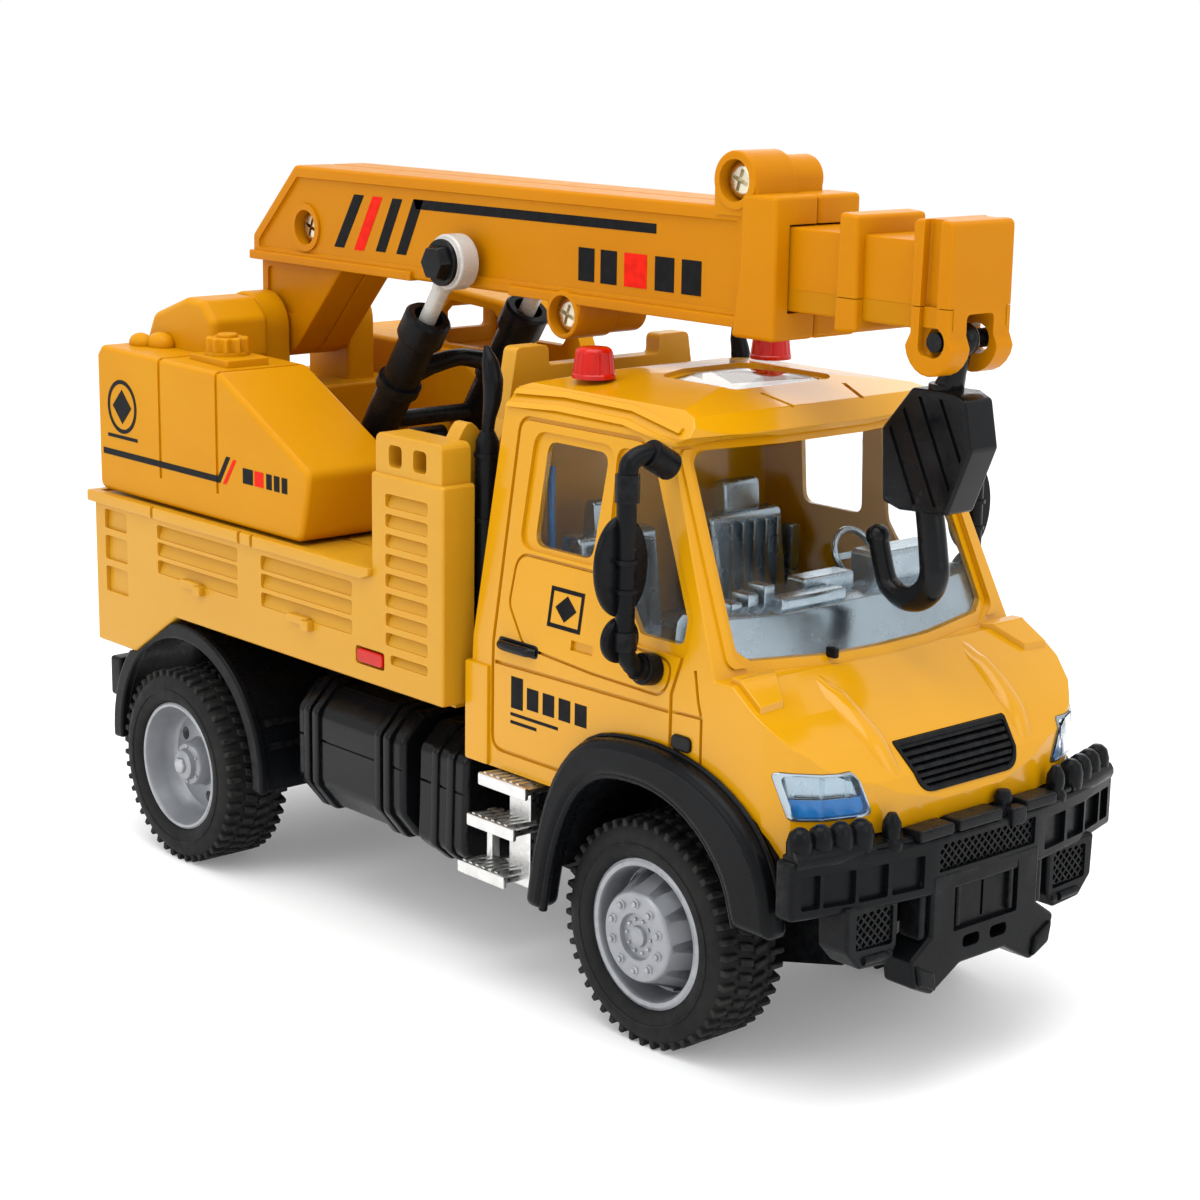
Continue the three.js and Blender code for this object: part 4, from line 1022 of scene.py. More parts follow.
def cab_trim():
    """Gutters, rear sill strips, bonnet ridges and the raised pads at the foot of each pillar."""
    gutters = []
    for z in (73.2, 74.7):
        gutter = [(-29, z), (-20, z + 0.5), (-8, z + 0.4), (1.2, z - 0.9), (1.2, z - 0.4), (-8, z + 1.0),
                  (-20, z + 1.1), (-29, z + 0.6)]
        gutters.append(common(cab_skin(-0.4, 0.5), prism(gutter, *RIGHT_SIDE)))
    sill = soft_block(-32.2, -27.7, -26.3, -24.6, 28.6, 41.4, 0.35)
    ridge = tube([(13.4, -12.8, 46.0), (17.2, -12.6, 43.7), (19.6, -12.5, 42.1), (22.6, -12.1, 39.8),
                  (24.4, -11.6, 37.4), (25.4, -11.0, 35.5), (25.7, -10.4, 33.6)],
                 [1.4, 2.3, 2.35, 2.3, 2.1, 1.8, 1.2], 32, 6)
    ridge = cut(ridge, cab_solid(0.7))
    pad = common(cab_skin(-0.7, 0.6),
                 prism([(13.0, -24.4), (13.2, -18.0), (17.9, -21.0), (18.1, -24.8)], "z", 40, 48.1))
    pad = soften(pad, 0.4, 3, 25)
    ring = cut(prism(rounded(inset(SCREEN_OPENING, -2.1), 1.2, 3), "x", 0, 30),
               prism(rounded(inset(SCREEN_OPENING, -1.1), 1.2, 3), "x", -1, 31))
    pillar = common(cab_skin(-0.35, 0.5), ring, block(0, 30, -30, 0, 48.4, 71.8))
    return both(*gutters, sill, ridge, pad, pillar)


def cab_print():
    """Door marks: a square badge, plain bars where a word was printed, and two lines under them."""
    def on_door(tool):
        return common(cab_skin(-INK, INK), tool)

    marks = [(-23.6, -21.4, 36.9, 40.9)]
    marks += [(-20.6 + i * 2.95, -18.5 + i * 2.95, 37.3, 40.0) for i in range(4)]
    marks += [(-23.7, -14.8, 35.9, 36.3), (-23.7, -18.8, 34.9, 35.3)]
    films = [on_door(prism(rect(x0, z0, x1, z1), *RIGHT_SIDE)) for x0, x1, z0, z1 in marks]
    badge = [(-17.6, 48.3), (-11.6, 48.3), (-11.4, 53.2), (-17.4, 53.2)]
    films.append(on_door(cut(prism(badge, *RIGHT_SIDE), prism(inset(badge, 0.5), "y", -41, -9))))
    diamond = [(-14.6, 49.2), (-12.6, 50.8), (-14.4, 52.4), (-16.4, 50.8)]
    films.append(on_door(prism(diamond, *RIGHT_SIDE)))
    return both(*films)


def door_furniture():
    """Black door handles and side repeaters."""
    grip = [(-25.8, -25.7, 44.6), (-24.6, -26.3, 44.6), (-20.4, -26.3, 44.6), (-19.2, -25.7, 44.6)]
    handle = tube(grip, [0.5, 0.62, 0.62, 0.5], 14, 5)
    plate = soft_prism(rounded(rect(-26.2, 43.8, -18.6, 45.5), 0.8), "y", -25.85, -25.3, 0.1, 1)
    repeater = soft_prism(rounded(rect(5.2, 38.3, 8.4, 40.2), 0.8), "y", -26.2, -25.3, 0.25)
    return both(handle, plate, repeater)


def window_glass():
    """The clear moulding behind every opening of the cab, just under the paint."""
    shell = cab_skin(0.55, 1.15)
    panes = joined(
        prism(inset(SCREEN_OPENING, -0.3), "x", 0.0, 30),
        prism(inset(DOOR_WINDOW, -0.3), *ACROSS),
        prism(inset(QUARTER_WINDOW, -0.3), *ACROSS),
        prism(inset(HATCH, -0.3), *ROOF))
    return common(shell, panes)


def wiper_nub():
    return soft_block(12.9, 14.5, -9.2, -8.4, 48.0, 49.3, 0.25)


def cab_interior():
    """Silvered floor, seats, dash, steering wheel and levers, seen through the windows."""
    floor = [(-28, 33), (16.4, 33), (16.6, 40), (9.4, 45.4), (4, 47.6), (1.6, 47.2), (0, 40), (-6, 38.4),
             (-9, 43), (-19, 43), (-22, 45), (-28, 44)]
    solids = [soft_prism(floor, "y", -20.8, 20.8, 0.6)]
    for side in (-1, 1):
        y = side * 11
        back = soft_prism(rounded([(-25, 42), (-18.6, 42), (-20.6, 57.5), (-24.2, 57.5)], 1.2), "y",
                            y - 6.4, y + 6.4, 1.0, 3)
        head = soft_prism(rounded([(-24, 57), (-21.2, 57), (-21.6, 61.6), (-23.6, 61.6)], 1.0), "y",
                            y - 3.2, y + 3.2, 0.7, 3)
        solids += [back, head, soft_block(-19.4, -8.6, y - 6.4, y + 6.4, 43, 45.2, 0.9, 3)]
        solids += [soft_block(-21.8, -18.9, y + rib * 2.1 - 0.35, y + rib * 2.1 + 0.35, 45, 56.5, 0.2)
                   for rib in (-2, -1, 0, 1, 2)]
        solids.append(soft_block(-21.6, -19.5, side * 19.2 - 1, side * 19.2 + 1, 43, 55, 0.4))
    dash = prism([(16.4, 44), (15.2, 47.2), (13.6, 49.4), (11.6, 51.4), (9.0, 52.9), (6.2, 53.5),
                  (3.8, 53.4), (3.0, 52.4), (3.0, 44)], "y", -24, 24)
    solids.append(soften(common(dash, cab_solid(1.5)), 0.3, 2, 40))
    solids.append(soft_block(2.0, 5.4, -5, 3.6, 50.5, 55.2, 0.5, 3))
    solids.append(soft_block(1.6, 6.4, 6.4, 18.6, 50.5, 57.0, 0.7, 3))
    solids.append(soft_block(5.6, 8.4, -12, -1, 52, 54.3, 0.4))
    wheel = lathe([(3.3 + 0.42 * math.cos(a), 0.42 * math.sin(a)) for a in
                   (2 * math.pi * k / 10 for k in range(10))], "x", (0, 0), 28)
    wheel = joined(wheel, block(-0.2, 0.25, -3.2, 3.2, -0.4, 0.4),
                   block(-0.2, 0.25, -0.4, 0.4, -3.2, 0.3))
    wheel = placed(wheel, Matrix.Translation((-1.6, 11, 55)) @ Matrix.Rotation(math.radians(-28), 4, "Y"))
    solids += [wheel, straight_bar((2.2, 11, 52), (-1.6, 11, 55), 0.6, 12)]
    for k, y in enumerate((-17, -14.4, -11.8)):
        solids.append(soft_block(3.2, 6.2, y - 0.9, y + 0.9, 52, 54.2 + 0.7 * k, 0.3))
    return joined(*solids)


def wires():
    path = [(-24.6, -18.6, 66), (-24.4, -18.8, 60), (-24.8, -18.2, 54), (-24.6, -18.4, 48)]
    return tube(path, 0.45, 10, 6)


def grille():
    """Black louvres that follow the bonnet's slope, in a thin frame."""
    slots = joined(*[block(20, 34, -12, 12, z, z + 0.36) for z in (35.5 + 0.74 * k for k in range(7))])
    face = common(cab_skin(0.0, 1.2), prism(grille_outline(0.3), *NOSE))
    face = cut(face, slots)
    edge = cut(prism(grille_outline(0.06), *NOSE), prism(grille_outline(0.5), "x", 19, 35))
    border = common(cab_skin(-0.15, 1.3), edge)
    back = common(cab_skin(1.1, 1.9), prism(grille_outline(0.1), *NOSE))
    return joined(face, border, back)


def headlight():
    """Clear lens flush with the paint over a silvered bowl and a blue bulb."""
    lens = soften(common(cab_skin(-0.3, 0.12), lamp_column(0.3)), 0.1, 2, 40)
    rim = common(cab_skin(-0.15, 1.0), cut(lamp_column(0.04), lamp_column(0.32)))
    bowl = common(cab_skin(0.95, 1.38), lamp_column(0.05))
    low = common(cab_skin(0.55, 0.96), lamp_column(0.34), block(18, 34, -40, -10, 33, 35.9))
    ribs = joined(*[block(18, 34, y - 0.12, y + 0.12, 34.6, 38.2) for y in (-18.2, -21.0)],
                  block(18, 34, -23.4, -17.4, 35.9, 36.15))
    ribs = common(cab_skin(0.45, 1.0), lamp_column(0.34), ribs)
    return [(joined(lens, ribs), LENS), (joined(rim, bowl), SILVER), (low, BLUE)]


def beacon():
    """Fluted red lamp on the roof."""
    centre = (-21.2, -15.2)
    low, high = 77.0, 80.4
    lamp = prism(fluted(centre, 2.54, -0.06, 20, 40), "z", low + 0.5, high - 0.2)
    for v in lamp.verts:
        if v.co.z > high - 0.5:
            v.co.x, v.co.y = (c + (p - c) * 0.88 for p, c in zip((v.co.x, v.co.y), centre))
    cap = [(0, -0.25), (2.25, -0.25), (2.14, 0.05), (1.8, 0.28), (1.1, 0.36), (0, 0.36)]
    cap = lathe(raised(cap, high), "z", centre, 32)
    foot = raised([(0, 0), (2.7, 0), (2.7, 0.45), (2.55, 0.6), (0, 0.6)], low)
    foot = lathe(foot, "z", centre, 36)
    return [(joined(lamp, cap, foot), RED)]


def mirror():
    """Bent mirror arm with elbow collars, a tall oval mirror and a small round one."""
    x, y = 1.4, -30
    path = [(1.8, -23.6, 70.6), (1.8, -26.4, 72.0), (x, y + 1.0, 71.6), (x, y, 69.6), (x, y, 60),
            (x, y, 50.6), (x, y + 0.9, 48.2), (x, -27.8, 47.3), (x, -25.6, 46.8)]
    arm = tube(path, 1.15, 18, 7)
    sleeves = [straight_bar((x, y, z), (x, y, z + h), 1.42, 18) for z, h in
               ((66.8, 3.2), (56.4, 0.5), (59.8, 0.5), (49.8, 2.2))]
    top = soften(straight_bar((1.9, -23.8, 70.2), (1.7, -27.2, 72.2), 1.75, 18), 0.35)
    foot = [soften(straight_bar((x, -25.4, 46.8), (x, -27.6, 47.2), 1.9, 20), 0.35),
            straight_bar((x, -27.4, 47.2), (x, -28.2, 47.5), 1.5, 18)]

    def plate(centre_z, radius, tall):
        outline = circle((y, centre_z), radius, 48, tall)
        back = soft_prism(outline, "x", x - 1.5, x - 0.3, 0.45, 3)
        rim = soft_prism([(y + (p - y) * 0.86, centre_z + (q - centre_z) * 0.88) for p, q in outline],
                           "x", x - 1.75, x - 1.2, 0.2, 1)
        return joined(back, rim)

    plates = joined(plate(59.3, 3.9, 1.5), plate(50.8, 2.7, 1.0))
    return [(joined(arm, *sleeves, top, *foot, plates), BLACK)]


piece("cab_shell", [(cab_body(), CAB_YELLOW), (cab_trim(), CAB_YELLOW), (cab_print(), INK_BLACK),
                    (door_furniture(), SATIN_BLACK)], "truck")
piece("window_glass", [(window_glass(), GLASS), (wiper_nub(), BLACK)], "truck")
piece("cab_interior", [(cab_interior(), SILVER), (wires(), BLUE)], "truck")
piece("radiator_grille", [(grille(), BLACK)], "truck")
pair("headlight", headlight, "truck")
pair("beacon", beacon, "truck")
pair("mirror", mirror, "truck")

# ---------------------------------------------------------------- bed

BED_HALF = 28.8
BED_FRONT = -33.4
BED_REAR = -116.2
BED_LOW = 35.1
DECK = 50.3
HEADBOARD_X = -36.2
VENT_PITCH = 2.57
VENT_HEIGHT = 1.75
SLEW_X = sum(corner[0] for corner in cad("turret_base_plate")) / 2


def side_recess(x0, x1, z0, z1, slope=1.0, depth=0.8):
    """A louvre pressed into the bed's side, deep along its top and shallow at its foot."""
    bm = prism(rounded(rect(x0, z0, x1, z1), 0.45, 2), "y", -BED_HALF - 2, -BED_HALF + depth)
    for v in bm.verts:
        if v.co.y < -BED_HALF - 1:
            continue
        low_share = (z1 - v.co.z) / (z1 - z0)
        v.co.y = -BED_HALF + depth * (1.25 - 0.95 * slope * low_share)
        v.co.x += 0.1 if v.co.x < (x0 + x1) / 2 else -0.1
    return bm


def bed_body():
    side = [(BED_FRONT, BED_LOW), (BED_FRONT, 63.1), (-48.2, 63.1), (-48.2, DECK), (BED_REAR, DECK),
            (BED_REAR, 28), (-106, 28), (-94.8, BED_LOW)]
    box = soft_prism(side, "y", -BED_HALF, BED_HALF, 0.45, 3)
    tab = soft_prism(rounded(rect(-47.8, 60, -34.2, 68.2), [0, 0, 1.2, 1.2]), "y",
                       -BED_HALF + 0.45, BED_HALF - 0.45, 0.3)
    rail = soft_prism([(-117, 48.9), (-49.6, 48.9), (-47.8, 49.6), (-47.8, 50.6), (-117, 50.6)], "y",
                        -29.6, 29.6, 0.3)
    deck_cut = block(-115.4, -48.6, -BED_HALF + 0.6, BED_HALF - 0.6, DECK, 54)
    under = block(BED_REAR + 1.6, BED_FRONT - 1.6, -BED_HALF + 1.6, BED_HALF - 1.6, 20, 48.7)
    gap = joined(block(-60, HEADBOARD_X + 10, -23.8, 23.8, DECK, 90),
                 block(HEADBOARD_X, -20, -23.8, 23.8, 20, 90))
    body = cut(cut(united(box, tab, rail), deck_cut, under), gap)
    half = [(24.5, 33.8), (24.5, 67.6), (22.4, 71), (19.8, 68), (19.8, 63), (16.4, 70), (14.8, 79),
            (9.5, 79), (9.5, 76.4)]
    outline = half + [(-y, z) for y, z in reversed(half)]
    radii = [0, 0.8, 1.4, 0.8, 1.0, 0.8, 0.9, 0.9, 0.6]
    board = rounded(outline, radii + radii[::-1], 3)
    board = soft_prism(board, "x", HEADBOARD_X - 2.6, HEADBOARD_X, 0.3)
    body = united(body, board)
    recesses = [side_recess(-113.4, -107.2, z0, z1, 0.4, 0.6)
                for z0, z1 in ((45.3, 48.2), (40.7, 44.3), (35.9, 39.7))]
    for x0, x1 in ((-99.2, -78.6), (-73.2, -52.2)):
        recesses += [side_recess(x0, x1, z0, z0 + 2.0) for z0 in (46.0, 43.5, 40.9)]
    vent_tops = [60.7 - VENT_PITCH * k for k in range(8)]
    recesses += [side_recess(-45.2, -36.3, top - VENT_HEIGHT, top) for top in vent_tops]
    recesses.append(side_recess(-44.2, -36.3, 38.6, 39.9))
    body = cut(body, both(*recesses))
    slots = [prism(rounded(rect(x - 1.35, 64.1, x + 1.35, 66.9), 0.7), *ACROSS) for x in (-43.6, -38.6)]
    marker = rounded(rect(-51.6, 37.4, -45.4, 39.8), 0.5)
    marker = both(prism(marker, "y", -BED_HALF - 1, -BED_HALF + 1))
    notches = both(*[block(x, x + 0.7, -30, -BED_HALF - 0.1, 48, 52) for x in (-99.6, -77.6, -74.6)])
    hole = disc("z", 40, 60, (SLEW_X, 0), 12.3, 48)
    grooves = joined(*[block(-114.6, -60, y - 0.25, y + 0.25, DECK - 0.35, DECK + 1)
                       for y in (-20, -10, 10, 20)])
    return cut(body, *slots, marker, notches, hole, grooves)


def bed_fittings():
    """Drop-side latches, hinge straps with studs on the tail end, and the headboard's brace and rim."""
    latches = []
    for x0 in (-92.4, -66.4):
        latches.append(soft_block(x0, x0 + 4.6, -BED_HALF - 0.55, -BED_HALF + 0.3, 40.2, 41.4, 0.2))
        latches.append(soft_block(x0 + 3.6, x0 + 5.4, -BED_HALF - 1.0, -BED_HALF + 0.3, 39.7, 41.1, 0.25))
    straps = [soft_block(BED_REAR - 0.5, BED_REAR + 0.4, y - 1.3, y + 1.3, 33, 46, 0.25)
              for y in (-21, -7)]
    studs = [disc("x", BED_REAR - 0.9, BED_REAR, (y, z), 0.55, 12, 0.7) for y in (-21, -7) for z in (35,
                                                                                                     44)]
    foot = HEADBOARD_X - 2.4
    brace = soft_prism([(foot, 52), (foot - 3.2, DECK), (foot, DECK)], "y", -14.6, -13.4, 0.2, 1)
    rim = soft_block(-37.2, -35.4, -13.4, -10.9, 70.5, 72, 0.3)
    return both(*latches, *straps, *studs, brace, rim)


def tail_frame():
    """Raised frame on the tail end of the bed."""
    outer = rounded(rect(-26.4, 30.2, 26.4, 47.6), 0.8)
    inner = rounded(rect(-24.8, 31.8, 24.8, 46.0), 0.6)
    return cut(prism(outer, "x", BED_REAR - 0.45, BED_REAR + 0.2),
               prism(inner, "x", BED_REAR - 2, BED_REAR + 2))


def marker_lamp():
    lens = prism(rounded(rect(-51.2, 37.7, -45.8, 39.5), 0.6), "y", -BED_HALF - 0.15, -BED_HALF + 0.8)
    return [(soften(lens, 0.25), RED)]


piece("bed_body", [(bm, BED_YELLOW) for bm in (bed_body(), bed_fittings(), tail_frame())],
      "truck")
pair("marker_lamp", marker_lamp, "truck")

# ---------------------------------------------------------------- turret

TURRET_LOW = 50.8
TURRET_HALF = 28
POD_INNER = 13
EAR_INNER = 5.2
EAR_OUTER = 10
POD_SIDE = [(-64.8, TURRET_LOW), (-62.6, 60.4), (-84.0, 71.4), (-114.6, 72), (-115.8, 70.6),
            (-115.8, TURRET_LOW)]


def pod():
    """A side pod with rounded edges and two soft panel joints over its top."""
    outline = rounded(POD_SIDE, [1.8, 1.6, 2.4, 1.0, 0.8, 1.6], 5)
    body = soft_prism(outline, "y", -TURRET_HALF, -POD_INNER, 1.7, 5, 40)
    core = prism(inset(POD_SIDE, 0.3), "y", -TURRET_HALF + 0.3, -POD_INNER + 1)
    joints = joined(*[block(x - 0.36, x + 0.36, -40, -POD_INNER - 1, 54.6, 90) for x in (-99, -84.5)])
    return soften(cut(body, cut(joints, core)), 0.12, 1, 60)


def right_fittings():
    """Filler cap on its plate, small lever lumps and the hump beside the pivot ear."""
    plate = rounded([(-96.8, -24.4), (-86.4, -24.9), (-86.4, -17.8), (-95.8, -17.4)], 0.5)
    plate = soft_prism(plate, "z", 71.2, 72.5, 0.2)
    cap_at = (-92.2, -20.9)
    cap = soft_prism(fluted(cap_at, 2.75, 0.35, 10, 100), "z", 72.3, 75.0, 0.5, 3, 50)
    neck = disc("z", 72.2, 73, cap_at, 3.1, 32)
    top = soften(disc("z", 74.8, 75.5, cap_at, 1.5, 24), 0.25)
    lumps = [ball((x, y, 72.3), r, (1.3, 1, 0.9), 20) for x, y, r in
             ((-111.6, -23, 1.6), (-108.8, -21.4, 1.9), (-106.2, -18.6, 1.6))]
    bar = tube([(-111.4, -23, 72.4), (-106.4, -18.8, 72.4)], 0.8, 12, 4)
    hump = [(-96.8, 70.5), (-96.8, 76.6), (-99.6, 79.3), (-104, 79.4), (-112.6, 76.4), (-114.6, 72.6),
            (-114.6, 70.5)]
    hump = rounded(hump, [0, 1.5, 1.5, 2, 2, 1.2, 0], 5)
    hump = soft_prism(hump, "y", -20.4, -EAR_OUTER - 0.6, 1.6, 5, 40)
    return joined(plate, cap, neck, top, *lumps, bar, hump)


def ears():
    """Rounded uprights that hold the boom's pivot pin, with a boss round the pin."""
    outline = [(-99.2, 56), *arc(BOOM_PIVOT, 5.2, 0, 180, 18), (-109.7, 56)]
    ear = soft_prism(outline, "y", -EAR_OUTER, -EAR_INNER, 0.5, 3, 50)
    boss = soften(disc("y", -EAR_OUTER - 0.5, -EAR_OUTER + 1, BOOM_PIVOT, 3.4, 36), 0.3)
    return [ear, boss]


def centre_deck():
    """Stepped floor between the pods, with the cylinder trough and its side blocks."""
    deck = block(-115.4, -64.2, -POD_INNER - 1, POD_INNER + 1, TURRET_LOW, 58)
    rear = soft_block(-115.5, -96, -POD_INNER - 1, POD_INNER + 1, 55, 66, 0.6, 3)
    return [deck, rear, soft_block(-95, -89, -POD_INNER - 0.5, -EAR_INNER, 57, 64.2, 0.7, 3),
            soft_block(-88.4, -80, -POD_INNER - 0.5, -9.6, 57, 62, 0.7, 3),
            soft_block(-88.4, -82, -4, 4, 57, 60.4, 0.6, 3)]


def operator_cab():
    """Small cab on the left pod, with open windows and the outline of a door."""
    outline = [(-67, 52.8), (-66.4, 66), (-71, 76), (-74, 79.4), (-88, 80.6), (-92, 78), (-92, 52.8)]
    shell = rounded(outline, [0, 1.5, 2, 2, 3, 2, 0], 5)
    shell = soft_prism(shell, "y", POD_INNER + 1, TURRET_HALF + 0.3, 0.8, 4, 50)
    room = prism([(-70.4, 64), (-73, 74.4), (-75.4, 77.8), (-87.8, 79), (-90.4, 77), (-90.4, 64)], "y",
                 POD_INNER + 2.4, TURRET_HALF - 1.4)
    side_window = [(-75.4, 72), (-73.2, 75), (-76, 78), (-86, 78.6), (-89, 76), (-89, 72)]
    side_window = prism(rounded(side_window, 1.0), "y", 10, 40)
    front_pane = prism(rounded(rect(17, 66, 25, 76), 1.0), "x", -74.5, -60)
    rear_pane = prism(rounded(rect(17, 73.6, 25, 77), 0.8), "x", -96, -88)
    door_line = cut(prism(rounded(rect(-89.6, 56, -77, 79), 1.2), "y", 27.9, 40),
                    prism(rounded(rect(-89.1, 56.5, -77.5, 78.5), 1.0), "y", 27, 41))
    return cut(shell, room, side_window, front_pane, rear_pane, door_line)


def turret_house():
    ear_parts = ears()
    twins = [flipped(bm) for bm in ear_parts]
    body = united(pod(), flipped(pod()), operator_cab(), *centre_deck(), *ear_parts, *twins)
    pin = disc("y", -EAR_OUTER - 5, EAR_OUTER + 5, BOOM_PIVOT, 2.5, 32)
    trunnion = disc("y", -14.4, 14.4, CYLINDER_BASE, 1.9, 24)
    hollow = block(-114, -66.4, -TURRET_HALF + 1.6, TURRET_HALF - 1.6, TURRET_LOW - 1, 54)
    leg_room = block(-110.8, -95.3, -EAR_INNER, EAR_INNER, 67, 90)
    return cut(body, pin, trunnion, hollow, leg_room)


def trunnion_blocks():
    """Cheeks on the deck that hold the foot of the two cylinders."""
    x, z = CYLINDER_BASE
    cheek = [(x - 4, 57), (x + 4, 57), (x + 2.9, z), (x + 1.6, z + 2.6), (x - 1.6, z + 2.6), (x - 2.9, z)]
    return both(*[soft_prism(cheek, "y", y - 0.9, y + 0.9, 0.3) for y in (-12.4, -4.6)])


def turret_print():
    """Belt stripe, two leaning bars, plain bars for a word, and a plain round mark."""
    y = -TURRET_HALF
    films = [film(rect(-114.4, 56.2, -84.2, 57.1), y),
             film(slanted((-81.7, 60.1), (-84.3, 56.2), 1.0), y),
             word_bars(-78.2, -75.8, 57, 59.1, 1, y, 0.0), word_bars(-72.6, -67.2, 57, 59.1, 3, y, 0.3)]
    centre = (-109, 63.6)
    ring = cut(film(circle(centre, 3.9, 40), y), disc("y", y - 1, y + 1, centre, 3.3, 40))
    films += [ring, film(circle(centre, 2.5, 4), y), word_bars(-113, -105, 58.9, 59.4, 1, y, 0.0)]
    red = [film(slanted((-80.1, 59.9), (-82.7, 56.2), 0.8), y),
           word_bars(-75.4, -73.3, 57, 59.1, 1, y, 0.0)]
    return [(both(*films), INK_BLACK), (both(*red), INK_RED)]


def tail_details():
    """Louvred grille and grab rails on the turret's tail."""
    x = -115.8
    frame_of = soft_block(x - 0.5, x + 0.4, -11, 11, 53.5, 65, 0.25)
    slats = [soft_block(x - 0.95, x, -9.8, 9.8, z, z + 0.8, 0.2)
             for z in (54.8 + 1.6 * k for k in range(6))]
    rail = [(x + 0.6, -15, 57.5), (x - 0.9, -15, 58.2), (x - 0.9, -15, 67.4), (x + 0.6, -15, 68.1)]
    rails = both(tube(rail, 0.55, 12, 5))
    lamps = both(soften(disc("x", x - 0.7, x + 0.4, (-23.6, 58.6), 1.5, 24), 0.25))
    return joined(frame_of, *slats, rails, lamps)


crane_solids = (turret_house(), right_fittings(), trunnion_blocks(), tail_details())
piece("turret_house", [*[(bm, CRANE_YELLOW) for bm in crane_solids], *turret_print()],
      "turret")

# ---------------------------------------------------------------- fenders, tanks, steps and bumpers

ARCH_OUT = [(24.0, 20.6), (22.4, 27.4), (18.8, 32.6), (13.0, 36.2), (6, 38.0), (-2, 38.0), (-8.6, 36.2),
            (-13.4, 30.8), (-16.6, 22), (-18.2, 13.4)]
ARCH_IN = [(-15, 13.4), (-13.3, 21.6), (-10.3, 28.4), (-6, 32.4), (0, 33.6), (6, 33), (11.4, 30.4),
           (15.6, 26), (17.6, 20.6)]
FENDER_Y = -28.4


def offset_line(points, distance):
    """An open line of (x, z) points moved sideways."""
    out = []
    for i, p in enumerate(points):
        a, b = Vector(points[max(i - 1, 0)]), Vector(points[min(i + 1, len(points) - 1)])
        normal = Vector((-(b - a).y, (b - a).x)).normalized()
        out.append((p[0] + normal.x * distance, p[1] + normal.y * distance))
    return out


def smoothed(points):
    return [(p.x, p.z) for p in smooth_path([(x, 0, z) for x, z in points], 3)]


def front_fender():
    """Wheel arch with a rounded brow, a raised lip and a seam along its top."""
    out, inn = smoothed(ARCH_OUT), smoothed(ARCH_IN)
    skin = soft_prism([*out, *inn], "y", FENDER_Y, -24.8, 1.25, 5, 50)
    guard = prism([*out[2:-2], *inn[2:-2]], "y", -25.4, -13.2)
    seam_line = offset_line(out, 1.15)
    seam = tube([(x, FENDER_Y + 0.28, z) for x, z in seam_line[2:-2]], 0.3, 8, straight=True)
    lip = tube([(x, FENDER_Y + 0.9, z) for x, z in offset_line(inn, 0.25)], 0.55, 10, straight=True)
    top = tube([(x, -26.2, z) for x, z in offset_line(out[1:-1], -0.1)], 0.3, 8, straight=True)
    return [(joined(skin, guard, seam, lip, top), BLACK)]


def rear_fender():
    centre = (-WHEELBASE - 0.8, 15)

    def band(outer, inner, start, end, steps):
        return [*arc(centre, outer, start, end, steps), *arc(centre, inner, end, start, steps)]

    skin = soft_prism(band(18.8, 17.3, -4, 184, 36), "y", -28.4, -13.2, 0.35, 2, 50)
    lip = soft_prism(band(19.4, 17.0, -4, 184, 36), "y", -28.7, -27.2, 0.45, 3, 50)
    bed_side = prism([(-130, 27.7), (-106.1, 27.7), (-94.9, BED_LOW - 0.3), (-70, BED_LOW - 0.3),
                      (-70, 50), (-130, 50)], "y", -30, -12)
    ribs = [prism(band(19.1, 18.4, a, a + 3, 2), "y", -26.5, -14.5) for a in (14, 24)]
    return [(cut(united(skin, lip), bed_side), BLACK), (joined(*ribs), BLACK)]


def tank(outline, x0, x1, straps, line_z):
    """A blow-moulded tank with a parting line and raised double straps."""
    body = soft_prism(outline, "x", x0, x1, 0.9, 4, 20)
    seam = cut(prism(inset(outline, -0.5), "x", x0 - 1, x1 + 1),
               prism(inset(outline, 0.22), "x", x0 - 2, x1 + 2))
    line = common(seam, block(x0 - 1, x1 + 1, -40, -12, line_z - 0.18, line_z + 0.18))
    body = cut(body, line)
    loop = inset(rounded(outline, 1.0, 3), -0.5)
    bands = [soft_prism(loop, "x", x + shift - 0.75, x + shift + 0.75, 0.35, 2, 50)
             for x in straps for shift in (-1.1, 0.9)]
    return joined(body, *bands)


def side_tank():
    outline = [(-12.4, 13.4), (-22.4, 13.4), (-25.4, 17.2), (-25.4, 27.2), (-22.2, 30.6), (-12.4, 30.6)]
    return [(tank(outline, -70, -46, (-66, -50), 23.4), SATIN_BLACK)]


def front_tank():
    outline = [(-12.4, 12.4), (-21.8, 12.4), (-24.4, 14.6), (-24.1, 27), (-20.8, 30), (-12.4, 30)]
    body = tank(outline, -44.6, -34.4, (), 22.6)
    ribs = [soft_prism(inset(rounded(outline, 1.0, 3), -0.35), "x", x, x + 1.5, 0.35, 2, 50)
            for x in (-41.4, -38.2)]
    filler = soften(disc("z", 29.6, 31.4, (-39.4, -17), 2.2, 24), 0.3)
    return [(joined(body, *ribs, filler), SATIN_BLACK)]


STEP_TREADS = [(-27.4, 27), (-29.6, 21.2), (-31.4, 14.6)]


